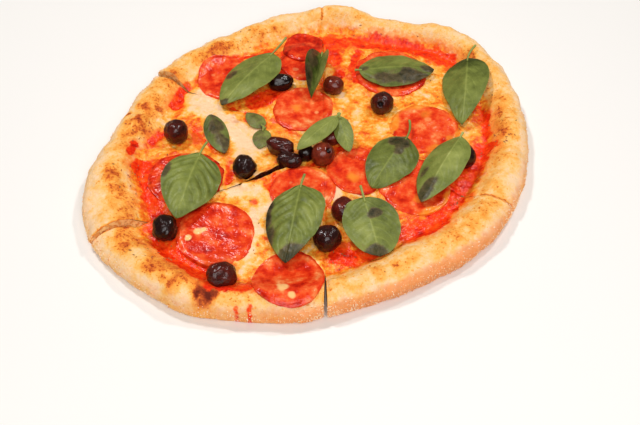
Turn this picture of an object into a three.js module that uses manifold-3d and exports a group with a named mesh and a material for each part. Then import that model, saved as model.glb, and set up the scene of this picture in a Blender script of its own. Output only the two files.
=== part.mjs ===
// A thin pepperoni pizza with olives and basil, cut into slices that still lie together.
// Millimetres, +Z up, +X to the right and +Y to the back. The origin is on the flat underside, below the
// middle of the crust.
import * as THREE from 'three';
import { mergeVertices } from 'three/addons/utils/BufferGeometryUtils.js';
import Module from 'manifold-3d';

const wasm = await Module();
wasm.setup();

// Driving dimensions of the dough
const CRUST_RADIUS = 147.5; // mean radius of the hand-stretched dough
const OVAL_STRETCH = 13; // pulled longer by this one way, and shorter across
const OVAL_HEADING = 38; // degrees from +X, the long way of the oval
const BASE_THICKNESS = 5;
const FLOOR_WAVE = 0.5; // height of the slow waves in the flat middle
const RIM_WIDTH = 28; // the puffed edge, from the outside to the flat middle
const RIM_HEIGHT = 16.5;
const RIM_RIPPLE = 0.7; // small ups and downs of the crest
const CREST_INSET = 0.45; // share of the rim's width from the outside to the crest
const SLOPE_FULLNESS = 0.6; // below 1 the slope from the crest to the middle bulges, as puffed dough does
const WAIST = 0.4; // share of the rim's height at which it is widest
const TUCK = 0.16; // share of the rim's height where it starts to curl in under
const FOOT_INSET = 0.15; // share of the rim's width by which the underside is curled in
const COLUMN_ANGLE = 4.8; // degrees between the lines that the slices are meshed along

// Where the outline swells out or bends in, where the rim is wider or narrower, and where it is puffed up or
// sunk: middle angle and spread in degrees, millimetres, and the slice if only one side of a cut has it
const OUTLINE_SWELLS = [
  { at: 8, spread: 18, by: -4 },
  { at: 40, spread: 7, by: 2.5 },
  { at: 66, spread: 15, by: -11.5 },
  { at: 82, spread: 6, by: 2 },
  { at: 175, spread: 19, by: -10 },
  { at: 212, spread: 16, by: 5 },
  { at: 240, spread: 10, by: 1.5 },
  { at: 324, spread: 18, by: 6 },
];
const WIDTH_SWELLS = [
  { at: 75, spread: 30, by: -3 },
  { at: 140, spread: 25, by: 2 },
  { at: 195, spread: 35, by: 5 },
  { at: 208, spread: 11, by: 10, slice: 'left' },
  { at: 325, spread: 28, by: 5 },
];
const HEIGHT_SWELLS = [
  { at: 45, spread: 12, by: 2 },
  { at: 81, spread: 7, by: 6 },
  { at: 120, spread: 16, by: -2 },
  { at: 160, spread: 8, by: 1.5 },
  { at: 152, spread: 12, by: -4.5, slice: 'left' },
  { at: 198, spread: 12, by: 3.5, slice: 'left' },
  { at: 212, spread: 9, by: -4, slice: 'front_left' },
  { at: 240, spread: 14, by: 1 },
  { at: 300, spread: 20, by: -1.5 },
  { at: 350, spread: 16, by: 1 },
];

// The cuts all start from one crossing: heading in degrees and the width that the knife opened
const CUT_CROSSING = new THREE.Vector2(7, -10.5);
const CUT_BACK = { heading: 90.5, gap: 0.8 };
const CUT_BACK_LEFT = { heading: 148, gap: 3.5 };
const CUT_LEFT = { heading: 208.7, gap: 1.6 };
const CUT_FRONT = { heading: 270.2, gap: 2 };
const CUT_RIGHT = { heading: 336.3, gap: 0.6 };
const CUT_SHRINK = 0.15; // how far cut pepperoni draws back from the cut

// Driving dimensions of the toppings
const CHEESE_THICKNESS = 2.6; // sauce and melted cheese together
const CHEESE_EDGE = 0.9; // their thickness where they end on the rim's inner slope
const CHEESE_REACH = 0.78; // share of the rim's width, from the outside, where they end
const CHEESE_LUMP = 0.5;
const PEPPERONI_THICKNESS = 1.8;
const PEPPERONI_SIDES = 18;
const PEPPERONI_CUP = 0.7; // how far the baked edge curls up
const PEPPERONI_OVAL = 0.025; // shares of the radius by which no slice is quite round
const PEPPERONI_CORNERS = 0.015;
const PEPPERONI_SCRAP = 0.1; // a cut piece with less than this share of the slice is left out
const OLIVE_SUNK = 0.3; // share of an olive's half height that is pressed into the cheese
const OLIVE_SIDES = 12;
const OLIVE_BANDS = 7;
const LEAF_THICKNESS = 0.8;
const STEM_HALF_WIDTH = 0.9;
const LAYER_GAP = 0.35; // between dough and cheese
const TOPPING_GAP = 0.6; // between the cheese and what is draped over it
const PRESS_GAP = 0.35; // round an olive that is pressed in

// Pepperoni: middle and radius. Where two overlap, the one listed first lies on top.
const PEPPERONI = [
  { x: -63, y: 62, radius: 23.5 },
  { x: -7.5, y: 98.5, radius: 17 },
  { x: -8.5, y: 80, radius: 19 },
  { x: -8, y: 30, radius: 22 },
  { x: 57, y: 69, radius: 26 },
  { x: 77, y: 9.5, radius: 24.5 },
  { x: 66, y: -44, radius: 24.5 },
  { x: 30, y: -30.5, radius: 21 },
  { x: -7, y: -48.5, radius: 21.5 },
  { x: -84, y: -37, radius: 25 },
  { x: -60.5, y: -84.5, radius: 25 },
  { x: -14, y: -120.5, radius: 22 },
];

// Olives: middle, half length, half width and half height, and the heading of the long way
const OLIVES = [
  { x: -94.5, y: 0.5, size: [8.5, 8.5, 9.2], turn: 20 },
  { x: -92, y: -83, size: [8.5, 8, 8], turn: 100 },
  { x: -53.5, y: -121, size: [9.5, 8, 8], turn: 10 },
  { x: -46, y: -31, size: [8.5, 8, 8], turn: 60 },
  { x: -22.5, y: -12, size: [10.5, 6.4, 6.6], turn: -20 },
  { x: -16.5, y: -24, size: [9, 6, 6.2], turn: -12 },
  { x: -5.5, y: -17, size: [6, 5.5, 6.5], turn: 80 },
  { x: 6, y: -19.5, size: [8.4, 8, 8.4], turn: 0 },
  { x: -24, y: 53.5, size: [9, 6.8, 6.6], turn: 5 },
  { x: 14, y: 51.5, size: [8, 7.5, 7], turn: -20 },
  { x: 48.5, y: 31.5, size: [8.5, 8, 8], turn: 30 },
  { x: 8.5, y: -91.5, size: [9, 8.5, 8.5], turn: 40 },
  { x: 19.5, y: -67.5, size: [9, 8, 7], turn: 50 },
  { x: 101, y: -21, size: [8.5, 8, 8], turn: 120 },
  { x: 12, y: -1.5, size: [7.5, 7, 6], turn: 10 },
];

// Basil: where the blade starts and where its tip is, its full width, the length of the stem and the angle
// it bends off by, how far the halves are folded up (degrees, negative for a roof), how far the middle arches
// up, and how pointed the outline is at its start and its tip (0.5 is as round as an ellipse). A sprig's
// leaves meet at their start, and one of them may droop by some millimetres at its tip.
const LEAVES = {
  basil_back_left: [
    {
      base: [-31.5, 80], tip: [-66, 30], width: 38, stem: 20, bend: 5,
      fold: -8, arch: 3, ends: [0.5, 0.8],
    },
  ],
  basil_back: [
    {
      base: [5.5, 85], tip: [-2, 37.5], width: 34, stem: 3, bend: 0,
      fold: 62, arch: 2, ends: [0.6, 0.75],
    },
  ],
  basil_back_middle: [
    {
      base: [33, 68], tip: [89, 69], width: 37, stem: 3, bend: 0,
      fold: -10, arch: 3, ends: [0.6, 0.75],
    },
  ],
  basil_back_right: [
    {
      base: [114, 75], tip: [103, 9], width: 33, stem: 14, bend: -20,
      fold: -12, arch: 4, ends: [0.42, 0.95],
    },
  ],
  basil_sprig_middle: [
    {
      base: [16, 7.5], tip: [-11, -22.5], width: 16, stem: 3, bend: 0,
      fold: -12, arch: 1.5, ends: [0.6, 0.8],
    },
    {
      base: [17.5, 7], tip: [24, -19], width: 13, stem: 3, bend: 0,
      fold: -14, arch: 1, ends: [0.55, 0.75], droop: 9,
    },
  ],
  basil_left: [
    {
      base: [-76, -21.5], tip: [-85, -79], width: 38, stem: 12, bend: -8,
      fold: -12, arch: 4, ends: [0.5, 0.85],
    },
  ],
  basil_middle_right: [
    {
      base: [63.5, -4.5], tip: [38, -48], width: 34, stem: 16, bend: 20,
      fold: -16, arch: 4, ends: [0.5, 0.75],
    },
  ],
  basil_right: [
    {
      base: [99, -10], tip: [69, -62], width: 30, stem: 3, bend: 0,
      fold: -16, arch: 4, ends: [0.6, 0.8],
    },
  ],
  basil_front: [
    {
      base: [-8, -51], tip: [-16.5, -111], width: 38, stem: 9, bend: -6,
      fold: -10, arch: 4, ends: [0.5, 0.85],
    },
  ],
  basil_front_right: [
    {
      base: [32, -64], tip: [41, -103], width: 36, stem: 9, bend: 0,
      fold: 6, arch: 1, ends: [0.42, 0.5],
    },
  ],
  basil_small_left: [
    {
      base: [-73.5, 21], tip: [-60.5, -15], width: 17, stem: 0, bend: 0,
      fold: -18, arch: 1.5, ends: [0.55, 0.75],
    },
  ],
  basil_sprig_left: [
    {
      base: [-35.5, 11], tip: [-48, 26], width: 12, stem: 2.5, bend: 0,
      fold: -10, arch: 1, ends: [0.5, 0.7],
    },
    {
      base: [-35.5, 9], tip: [-37, -10], width: 13, stem: 2.5, bend: 0,
      fold: -10, arch: 1, ends: [0.5, 0.7],
    },
  ],
};

// Colour, roughness and metalness of each kind of piece
const FINISHES = {
  crust: { color: 0xe9bd86, roughness: 0.85, metalness: 0 },
  cheese: { color: 0xf0a860, roughness: 0.45, metalness: 0 },
  pepperoni: { color: 0xd2402c, roughness: 0.4, metalness: 0 },
  olive: { color: 0x3a1a1e, roughness: 0.2, metalness: 0 },
  basil: { color: 0x6a8a45, roughness: 0.55, metalness: 0 },
};

// Angles in degrees
const { degToRad, radToDeg, euclideanModulo, smoothstep } = THREE.MathUtils;

function toward(angle) {
  return new THREE.Vector2(Math.cos(degToRad(angle)), Math.sin(degToRad(angle)));
}

function angleOf(point) {
  return radToDeg(Math.atan2(point.y, point.x));
}

function turnBetween(angle, other) {
  return euclideanModulo(angle - other + 180, 360) - 180;
}

function swellAt(swells, angle, sliceName) {
  let sum = 0;
  for (const { at, spread, by, slice } of swells) {
    const reaches = !slice || slice === sliceName;
    sum += reaches ? by * Math.exp(-((turnBetween(angle, at) / spread) ** 2)) : 0;
  }
  return sum;
}

// The dough's outline and the height of its top
function outlineRadius(angle) {
  const oval = OVAL_STRETCH * Math.cos(2 * degToRad(angle - OVAL_HEADING));
  return CRUST_RADIUS + oval + swellAt(OUTLINE_SWELLS, angle);
}

function rimWidth(angle, sliceName) {
  return RIM_WIDTH + swellAt(WIDTH_SWELLS, angle, sliceName);
}

function rimHeight(angle, sliceName) {
  const ripple = RIM_RIPPLE * (Math.sin(degToRad(angle * 17)) + Math.sin(degToRad(angle * 29 + 40)));
  return RIM_HEIGHT + ripple + swellAt(HEIGHT_SWELLS, angle, sliceName);
}

// Share of the rim's width between the outside, 0, and a point: 1 is where the flat middle starts
function insetOf(point, sliceName) {
  const angle = angleOf(point);
  return (outlineRadius(angle) - point.length()) / rimWidth(angle, sliceName);
}

function crustTop(point, sliceName) {
  const inset = insetOf(point, sliceName);
  const floor = BASE_THICKNESS + FLOOR_WAVE * Math.sin(point.x / 23) * Math.cos(point.y / 19);
  if (inset >= 1) {
    return floor;
  }
  const crest = rimHeight(angleOf(point), sliceName);
  if (inset >= CREST_INSET) {
    return floor + (crest - floor) * smoothstep(1 - inset, 0, 1 - CREST_INSET) ** SLOPE_FULLNESS;
  }
  const waist = WAIST * crest;
  const fromCrest = 1 - Math.max(inset, 0) / CREST_INSET;
  return waist + (crest - waist) * Math.sqrt(1 - fromCrest ** 2);
}

function cheeseTop(point, sliceName) {
  const lump = CHEESE_LUMP * Math.sin(point.x / 13 + 1) * Math.sin(point.y / 12);
  const full = CHEESE_THICKNESS + lump;
  const share = smoothstep(insetOf(point, sliceName), CHEESE_REACH, CHEESE_REACH + 0.6);
  return crustTop(point, sliceName) + LAYER_GAP + CHEESE_EDGE + (full - CHEESE_EDGE) * share;
}

// The slices. A corner that keeps clear of both cuts moves in from the crossing by those two distances.
function cornerClearOf(start, end, startClear, endClear) {
  const startSide = toward(start + 90);
  const endSide = toward(end - 90);
  const determinant = startSide.cross(endSide);
  return new THREE.Vector2(
    CUT_CROSSING.x + (startClear * endSide.y - endClear * startSide.y) / determinant,
    CUT_CROSSING.y + (endClear * startSide.x - startClear * endSide.x) / determinant,
  );
}

function makeSlice(name, first, last) {
  const start = first.heading;
  const end = last.heading > start ? last.heading : last.heading + 360;
  const corner = cornerClearOf(start, end, first.gap / 2, last.gap / 2);
  const toppingCorner = cornerClearOf(start, end, first.gap / 2 + CUT_SHRINK, last.gap / 2 + CUT_SHRINK);
  return { name, start, end, corner, toppingCorner };
}

const SLICES = [
  makeSlice('back_left', CUT_BACK, CUT_BACK_LEFT),
  makeSlice('left', CUT_BACK_LEFT, CUT_LEFT),
  makeSlice('front_left', CUT_LEFT, CUT_FRONT),
  makeSlice('front_right', CUT_FRONT, CUT_RIGHT),
  makeSlice('back_right', CUT_RIGHT, CUT_BACK),
];

function sliceAt(point) {
  const angle = euclideanModulo(angleOf(point.clone().sub(CUT_CROSSING)), 360);
  return SLICES.find(({ start, end }) => euclideanModulo(angle - start, 360) <= end - start);
}

function bedHeight(point) {
  return cheeseTop(point, sliceAt(point).name);
}

// How far along a line from a slice's corner the rim's inset is reached
function distanceToInset({ corner, name }, direction, inset) {
  let near = 0;
  let far = 2 * CRUST_RADIUS;
  for (let step = 0; step < 40; step += 1) {
    const middle = (near + far) / 2;
    const point = corner.clone().addScaledVector(direction, middle);
    if (insetOf(point, name) > inset) {
      near = middle;
    } else {
      far = middle;
    }
  }
  return near;
}

// Solids from points and triangles, and to and from the library that cuts and joins them
function geometryFrom(points, triangles) {
  const geometry = new THREE.BufferGeometry();
  const coordinates = points.flatMap((point) => [point.x, point.y, point.z]);
  geometry.setAttribute('position', new THREE.Float32BufferAttribute(coordinates, 3));
  geometry.setIndex(triangles.flat());
  return geometry;
}

function toSolid(geometry) {
  const bare = geometry.clone();
  bare.deleteAttribute('normal');
  bare.deleteAttribute('uv');
  const merged = mergeVertices(bare);
  return new wasm.Manifold(new wasm.Mesh({
    numProp: 3,
    vertProperties: new Float32Array(merged.getAttribute('position').array),
    triVerts: new Uint32Array(merged.getIndex().array),
  }));
}

function fromSolid(solid) {
  const { vertProperties, triVerts } = solid.getMesh();
  const geometry = new THREE.BufferGeometry();
  geometry.setAttribute('position', new THREE.BufferAttribute(new Float32Array(vertProperties), 3));
  geometry.setIndex(Array.from(triVerts));
  return geometry;
}

// A wedge between two cuts: the same outline is worked out on each column, from the corner's top outward,
// round the rim and back to the corner's underside. The two cut faces close it.
function wedge(columns) {
  const rows = columns[0].length;
  const points = [columns[0][0], columns[0][rows - 1]];
  const indexOf = columns.map((column) => {
    const first = points.length;
    points.push(...column.slice(1, rows - 1));
    return (row) => (row === 0 ? 0 : row === rows - 1 ? 1 : first + row - 1);
  });
  const triangles = [];
  const across = (a, b) => Math.hypot(points[a].x - points[b].x, points[a].y - points[b].y);
  for (let column = 0; column + 1 < columns.length; column += 1) {
    for (let row = 0; row + 1 < rows; row += 1) {
      const a = indexOf[column](row);
      const b = indexOf[column](row + 1);
      const c = indexOf[column + 1](row + 1);
      const d = indexOf[column + 1](row);
      const pair = across(a, c) <= across(b, d) ? [[a, b, c], [a, c, d]] : [[a, b, d], [b, c, d]];
      triangles.push(...pair.filter((corners) => new Set(corners).size === 3));
    }
  }
  const caps = [{ column: 0, clockwise: false }, { column: columns.length - 1, clockwise: true }];
  for (const { column, clockwise } of caps) {
    const corner = columns[column][0];
    const flat = columns[column].map(({ x, y, z }) => {
      return new THREE.Vector2(Math.hypot(x - corner.x, y - corner.y), z);
    });
    for (const [a, b, c] of THREE.ShapeUtils.triangulateShape(flat, [])) {
      const face = [a, b, c].map(indexOf[column]);
      const area = flat[b].clone().sub(flat[a]).cross(flat[c].clone().sub(flat[a]));
      triangles.push(area < 0 === clockwise ? face : face.reverse());
    }
  }
  return geometryFrom(points, triangles);
}

function sliceColumns(slice, outline) {
  const count = Math.round((slice.end - slice.start) / COLUMN_ANGLE);
  const columns = [];
  for (let column = 0; column <= count; column += 1) {
    const direction = toward(slice.start + ((slice.end - slice.start) * column) / count);
    columns.push(outline(slice, direction));
  }
  return columns;
}

// Rings that the dough's top and the cheese share: parts of the flat middle, then insets up the rim
const MIDDLE_RINGS = [0.25, 0.5, 0.75, 1];
const TOP_INSETS = [0.62, CREST_INSET, 0.27, 0.12, 0.03, 0];

function onInset(slice, direction, inset) {
  return slice.corner.clone().addScaledVector(direction, distanceToInset(slice, direction, inset));
}

function ringPoints(slice, direction) {
  const flatEdge = onInset(slice, direction, 1);
  const middle = MIDDLE_RINGS.map((share) => slice.corner.clone().lerp(flatEdge, share));
  return [slice.corner, ...middle, onInset(slice, direction, CHEESE_REACH)];
}

function rimPoints(slice, direction) {
  return TOP_INSETS.map((inset) => onInset(slice, direction, inset));
}

function raised(point, height) {
  return new THREE.Vector3(point.x, point.y, height);
}

function crustOutline(slice, direction) {
  const onTop = [...ringPoints(slice, direction), ...rimPoints(slice, direction)];
  const top = onTop.map((point) => raised(point, crustTop(point, slice.name)));
  const tuck = onInset(slice, direction, FOOT_INSET / 4);
  const tuckHeight = TUCK * rimHeight(angleOf(tuck), slice.name);
  const foot = onInset(slice, direction, FOOT_INSET);
  const underside = [foot, onInset(slice, direction, 1), slice.corner].map((point) => raised(point, 0));
  return [...top, raised(tuck, tuckHeight), ...underside];
}

function cheeseOutline(slice, direction) {
  const inner = ringPoints(slice, direction);
  const top = inner.map((point) => raised(point, cheeseTop(point, slice.name)));
  const underside = inner.map((point) => raised(point, crustTop(point, slice.name) + LAYER_GAP));
  return [...top, ...underside.reverse()];
}

// The whole sector of a slice, and all that is below the toppings there, for cutting them to fit
const CUT_REACH = 2 * CRUST_RADIUS;
const CUT_DEPTH = 100;
const BELOW = -10;

function sectorSolid(slice) {
  const shape = new THREE.Shape();
  shape.moveTo(slice.toppingCorner.x, slice.toppingCorner.y);
  for (const share of [0, 0.5, 1]) {
    const end = slice.toppingCorner.clone();
    end.addScaledVector(toward(slice.start + (slice.end - slice.start) * share), CUT_REACH);
    shape.lineTo(end.x, end.y);
  }
  const geometry = new THREE.ExtrudeGeometry(shape, { depth: CUT_DEPTH, bevelEnabled: false });
  return toSolid(geometry.translate(0, 0, BELOW));
}

function bedOutline(slice, direction) {
  const onTop = [...ringPoints(slice, direction), ...rimPoints(slice, direction)];
  const top = onTop.map((point) => raised(point, cheeseTop(point, slice.name) + PRESS_GAP));
  return [...top, raised(onTop[onTop.length - 1], BELOW), raised(slice.corner, BELOW)];
}

// A round slice of pepperoni, with its top draped over the cheese and its side going straight down, to be
// cut off where the cheese starts. A grown one is all that must stay clear of the real one.
const PEPPERONI_RINGS = [0.62, 1];

function pepperoniColumn({ x, y, radius }, grow) {
  const middle = new THREE.Vector2(x, y);
  const topAt = (point, share) => {
    return bedHeight(point) + TOPPING_GAP + PEPPERONI_THICKNESS + PEPPERONI_CUP * share ** 4 + grow;
  };
  const points = [raised(middle, topAt(middle, 0)), raised(middle, BELOW)];
  for (const share of PEPPERONI_RINGS) {
    for (let side = 0; side < PEPPERONI_SIDES; side += 1) {
      const angle = (360 * side) / PEPPERONI_SIDES;
      const oval = PEPPERONI_OVAL * Math.sin(degToRad(2 * angle + 3 * x));
      const corners = PEPPERONI_CORNERS * Math.sin(degToRad(3 * angle + y));
      const reach = share * radius * (1 + oval + corners) + grow;
      const point = toward(angle).multiplyScalar(reach).add(middle);
      points.push(raised(point, topAt(point, share)), raised(point, BELOW));
    }
  }
  const top = (ring, side) => 2 + 2 * (ring * PEPPERONI_SIDES + (side % PEPPERONI_SIDES));
  const triangles = [];
  for (let side = 0; side < PEPPERONI_SIDES; side += 1) {
    const [a, b, c, d] = [top(0, side), top(1, side), top(1, side + 1), top(0, side + 1)];
    triangles.push([0, a, d], [a, b, c], [a, c, d]);
    triangles.push([1, d + 1, a + 1], [a + 1, c + 1, b + 1], [a + 1, d + 1, c + 1]);
    triangles.push([b, b + 1, c + 1], [b, c + 1, c]);
  }
  return toSolid(geometryFrom(points, triangles));
}

// An olive, pressed into what lies below it
function oliveHeight({ x, y, size }) {
  return bedHeight(new THREE.Vector2(x, y)) + size[2] * (1 - OLIVE_SUNK);
}

function oliveSolid(olive, grow) {
  const geometry = new THREE.SphereGeometry(1, OLIVE_SIDES, OLIVE_BANDS);
  geometry.rotateX(Math.PI / 2);
  geometry.scale(olive.size[0] + grow, olive.size[1] + grow, olive.size[2] + grow);
  geometry.rotateZ(degToRad(olive.turn));
  geometry.translate(olive.x, olive.y, oliveHeight(olive));
  return toSolid(geometry);
}

function largestBody(solid) {
  const bodies = solid.decompose();
  return bodies.reduce((best, body) => (body.volume() > best.volume() ? body : best));
}

// A basil leaf as rows of points across it, from the end of the stem to the tip. Each point holds its place
// and its height above the leaf's own plane.
const BLADE_ROWS = [0, 0.05, 0.14, 0.27, 0.42, 0.58, 0.74, 0.88, 0.96, 1];
const BLADE_COLUMNS = [-1, -0.55, 0, 0.55, 1];
const TIP_HALF_WIDTH = 0.3;

function bladeShare(along, [atStart, atTip]) {
  const shape = (share) => share ** atStart * (1 - share) ** atTip;
  return shape(along) / shape(atStart / (atStart + atTip));
}

function leafRows({ base, tip, width, stem, bend, fold, arch, ends, droop = 0 }) {
  const start = new THREE.Vector2(...base);
  const axis = new THREE.Vector2(...tip).sub(start);
  const length = axis.length();
  axis.normalize();
  const stemRows = stem > 0 ? [1, 0.5] : [];
  const rows = stemRows.map((share) => {
    const back = toward(angleOf(axis) + 180 + bend * share);
    return { middle: start.clone().addScaledVector(back, stem * share), half: STEM_HALF_WIDTH, along: 0 };
  });
  for (const along of BLADE_ROWS) {
    const least = along < 0.5 ? STEM_HALF_WIDTH : TIP_HALF_WIDTH;
    const half = Math.max((width / 2) * bladeShare(along, ends), least);
    rows.push({ middle: start.clone().addScaledVector(axis, along * length), half, along });
  }
  const side = new THREE.Vector2(-axis.y, axis.x);
  return rows.map(({ middle, half, along }) => BLADE_COLUMNS.map((across) => {
    const flat = half * across * Math.cos(degToRad(fold));
    const rise = half * Math.abs(across) * Math.sin(degToRad(fold));
    const height = rise + arch * Math.sin(Math.PI * along) - droop * along;
    return { place: middle.clone().addScaledVector(side, flat), height };
  }));
}

// The leaf's solid: its lower face on the given plane, its upper face one thickness above
function leafSolid(rows, plane, fold) {
  const across = BLADE_COLUMNS.length;
  const thickness = LEAF_THICKNESS / Math.cos(degToRad(fold));
  const points = [];
  for (const { place, height } of rows.flat()) {
    const lower = plane.slopeX * place.x + plane.slopeY * place.y + plane.height + height;
    points.push(raised(place, lower), raised(place, lower + thickness));
  }
  const lower = (row, column) => 2 * (row * across + column);
  const triangles = [];
  const border = [];
  for (let row = 0; row + 1 < rows.length; row += 1) {
    for (let column = 0; column + 1 < across; column += 1) {
      const [a, b] = [lower(row, column), lower(row, column + 1)];
      const [c, d] = [lower(row + 1, column + 1), lower(row + 1, column)];
      triangles.push([a, b, c], [a, c, d], [a + 1, c + 1, b + 1], [a + 1, d + 1, c + 1]);
    }
    border.push([lower(row + 1, 0), lower(row, 0)], [lower(row, across - 1), lower(row + 1, across - 1)]);
  }
  for (let column = 0; column + 1 < across; column += 1) {
    border.push([lower(0, column), lower(0, column + 1)]);
    border.push([lower(rows.length - 1, column + 1), lower(rows.length - 1, column)]);
  }
  for (const [a, b] of border) {
    triangles.push([b, a, a + 1], [b, a + 1, b + 1]);
  }
  const solid = toSolid(geometryFrom(points, triangles));
  if (solid.volume() > 0) {
    return solid;
  }
  const turned = triangles.map((corners) => corners.reverse());
  return toSolid(geometryFrom(points, turned));
}

// What a leaf can rest on at a point: cheese, pepperoni or an olive
const PEPPERONI_REACH = 1.08; // a leaf keeps clear of a slice out to this share of its radius

function supportHeight(point) {
  let height = bedHeight(point) + TOPPING_GAP;
  const onPepperoni = height + PEPPERONI_THICKNESS + PEPPERONI_CUP;
  for (const { x, y, radius } of PEPPERONI) {
    const under = Math.hypot(point.x - x, point.y - y) < PEPPERONI_REACH * radius;
    height = Math.max(height, under ? onPepperoni : 0);
  }
  for (const olive of OLIVES) {
    const away = point.clone().sub(olive).rotateAround(new THREE.Vector2(), -degToRad(olive.turn));
    const [halfLength, halfWidth, halfHeight] = olive.size.map((half) => half + TOPPING_GAP);
    const share = (away.x / halfLength) ** 2 + (away.y / halfWidth) ** 2;
    const rise = halfHeight * Math.sqrt(Math.max(1 - share, 0));
    height = Math.max(height, share < 1 ? oliveHeight(olive) + rise : 0);
  }
  return height + TOPPING_GAP;
}

// A leaf settles like a stiff card: of all planes that keep it above its supports, the one that is lowest at
// its middle. The search narrows the two slopes step by step.
function settle(points) {
  const supports = points.map(({ place, height }) => ({ place, need: supportHeight(place) - height }));
  const middle = new THREE.Vector2();
  for (const { place } of points) {
    middle.addScaledVector(place, 1 / points.length);
  }
  const planeFor = (slopeX, slopeY) => {
    const needs = supports.map(({ place, need }) => need - slopeX * place.x - slopeY * place.y);
    const height = Math.max(...needs);
    return { slopeX, slopeY, height, level: slopeX * middle.x + slopeY * middle.y + height };
  };
  let best = planeFor(0, 0);
  for (let step = 0.2; step > 0.002; step /= 2) {
    for (let round = 0; round < 6; round += 1) {
      for (const [turnX, turnY] of [[1, 0], [-1, 0], [0, 1], [0, -1]]) {
        const plane = planeFor(best.slopeX + turnX * step, best.slopeY + turnY * step);
        best = plane.level < best.level ? plane : best;
      }
    }
  }
  return best;
}

function between(first, second) {
  return {
    place: first.place.clone().lerp(second.place, 0.5),
    height: (first.height + second.height) / 2,
  };
}

// Points of a leaf and the points half way between them, so that no face dips into what is below
function denserPoints(rows) {
  const points = rows.flat();
  for (let row = 0; row + 1 < rows.length; row += 1) {
    for (let column = 0; column < rows[row].length; column += 1) {
      points.push(between(rows[row][column], rows[row + 1][column]));
      if (column > 0) {
        points.push(between(rows[row][column - 1], rows[row][column]));
        points.push(between(rows[row][column - 1], rows[row + 1][column]));
      }
    }
  }
  return points;
}

function leafGeometry(leaves) {
  const rowsOfEach = leaves.map(leafRows);
  const plane = settle(rowsOfEach.flatMap(denserPoints));
  const solids = leaves.map(({ fold }, index) => leafSolid(rowsOfEach[index], plane, fold));
  return fromSolid(solids.reduce((joined, solid) => joined.add(solid)));
}

// The pizza, piece by piece
const pizza = new THREE.Group();
pizza.name = 'pepperoni_pizza';

function addPiece(name, geometry, finish) {
  geometry.computeVertexNormals();
  const mesh = new THREE.Mesh(geometry, new THREE.MeshStandardMaterial(FINISHES[finish]));
  mesh.name = name;
  pizza.add(mesh);
}

for (const slice of SLICES) {
  addPiece(`crust_${slice.name}`, wedge(sliceColumns(slice, crustOutline)), 'crust');
  addPiece(`cheese_${slice.name}`, wedge(sliceColumns(slice, cheeseOutline)), 'cheese');
}

const beds = SLICES.map((slice) => toSolid(wedge(sliceColumns(slice, bedOutline))));
const pepperoniBeds = PEPPERONI.map((place) => pepperoniColumn(place, PRESS_GAP));

PEPPERONI.forEach((place, index) => {
  let column = pepperoniColumn(place, 0);
  const scrap = PEPPERONI_SCRAP * Math.PI * place.radius ** 2 * PEPPERONI_THICKNESS;
  for (const upper of pepperoniBeds.slice(0, index)) {
    column = column.subtract(upper);
  }
  SLICES.forEach((slice, order) => {
    const piece = column.intersect(sectorSolid(slice)).subtract(beds[order]);
    if (piece.volume() > scrap) {
      addPiece(`pepperoni_${index + 1}_${slice.name}`, fromSolid(largestBody(piece)), 'pepperoni');
    }
  });
});

OLIVES.forEach((place, index) => {
  let olive = oliveSolid(place, 0);
  for (const below of [...beds, ...pepperoniBeds]) {
    olive = olive.subtract(below);
  }
  for (const neighbour of OLIVES.slice(0, index)) {
    olive = olive.subtract(oliveSolid(neighbour, PRESS_GAP));
  }
  addPiece(`olive_${index + 1}`, fromSolid(largestBody(olive)), 'olive');
});

for (const [name, leaves] of Object.entries(LEAVES)) {
  addPiece(name, leafGeometry(leaves), 'basil');
}

export default pizza;
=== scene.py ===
# %% [markdown]
# # A pepperoni pizza, dressed over its solids
# The packed frame holds the pizza's solids at their true size: five slices of dough, the cheese on them, and
# the pepperoni, olives and basil on top. They are plain on purpose. This lesson lays a fine mesh over each of
# them, gives it the small unevenness of real food, and mixes its colours from masks that are worked out from
# the same shapes, so that nothing has to be painted by hand.

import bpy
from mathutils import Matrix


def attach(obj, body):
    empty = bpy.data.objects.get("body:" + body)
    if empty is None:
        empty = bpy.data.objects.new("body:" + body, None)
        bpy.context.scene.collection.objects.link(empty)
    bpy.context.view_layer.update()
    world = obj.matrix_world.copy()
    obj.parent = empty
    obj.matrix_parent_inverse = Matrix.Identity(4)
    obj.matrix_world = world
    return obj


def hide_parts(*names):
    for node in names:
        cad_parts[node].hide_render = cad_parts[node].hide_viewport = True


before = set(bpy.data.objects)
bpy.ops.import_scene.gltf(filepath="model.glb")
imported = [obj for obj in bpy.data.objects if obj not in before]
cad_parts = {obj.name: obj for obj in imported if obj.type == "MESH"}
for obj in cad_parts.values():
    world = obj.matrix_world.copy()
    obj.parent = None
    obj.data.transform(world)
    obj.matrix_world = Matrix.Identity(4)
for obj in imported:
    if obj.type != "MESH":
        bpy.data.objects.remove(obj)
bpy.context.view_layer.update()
print("solids in the frame:", len(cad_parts))

# %% [markdown]
# ## Working in arrays
# A mesh can be built point by point, but with many thousand points it is quicker to work in numpy, where one
# formula moves all of them at once. Sizes below are in millimetres, as a cook would measure them, and turn
# into Blender's metres when a mesh is made.

# %% Libraries, units and small helpers
import itertools
from collections import namedtuple

import bmesh
import bpy
import numpy as np

MM = 0.001


def smooth(value, low, high):
    """0 below low, 1 above high, and a soft step between them."""
    share = np.clip((value - low) / (high - low), 0, 1)
    return share * share * (3 - 2 * share)


def toward(angle):
    """Unit vectors in the plane for angles in degrees."""
    return np.stack([np.cos(np.radians(angle)), np.sin(np.radians(angle))], axis=-1)


def angle_of(x, y):
    return np.degrees(np.arctan2(y, x))


def with_height(place, height):
    """Places in the plane and their heights, joined into points."""
    return np.concatenate([place, np.broadcast_to(height, place.shape[:-1])[..., None]], axis=-1)


print("one millimetre in Blender's units:", MM)

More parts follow.
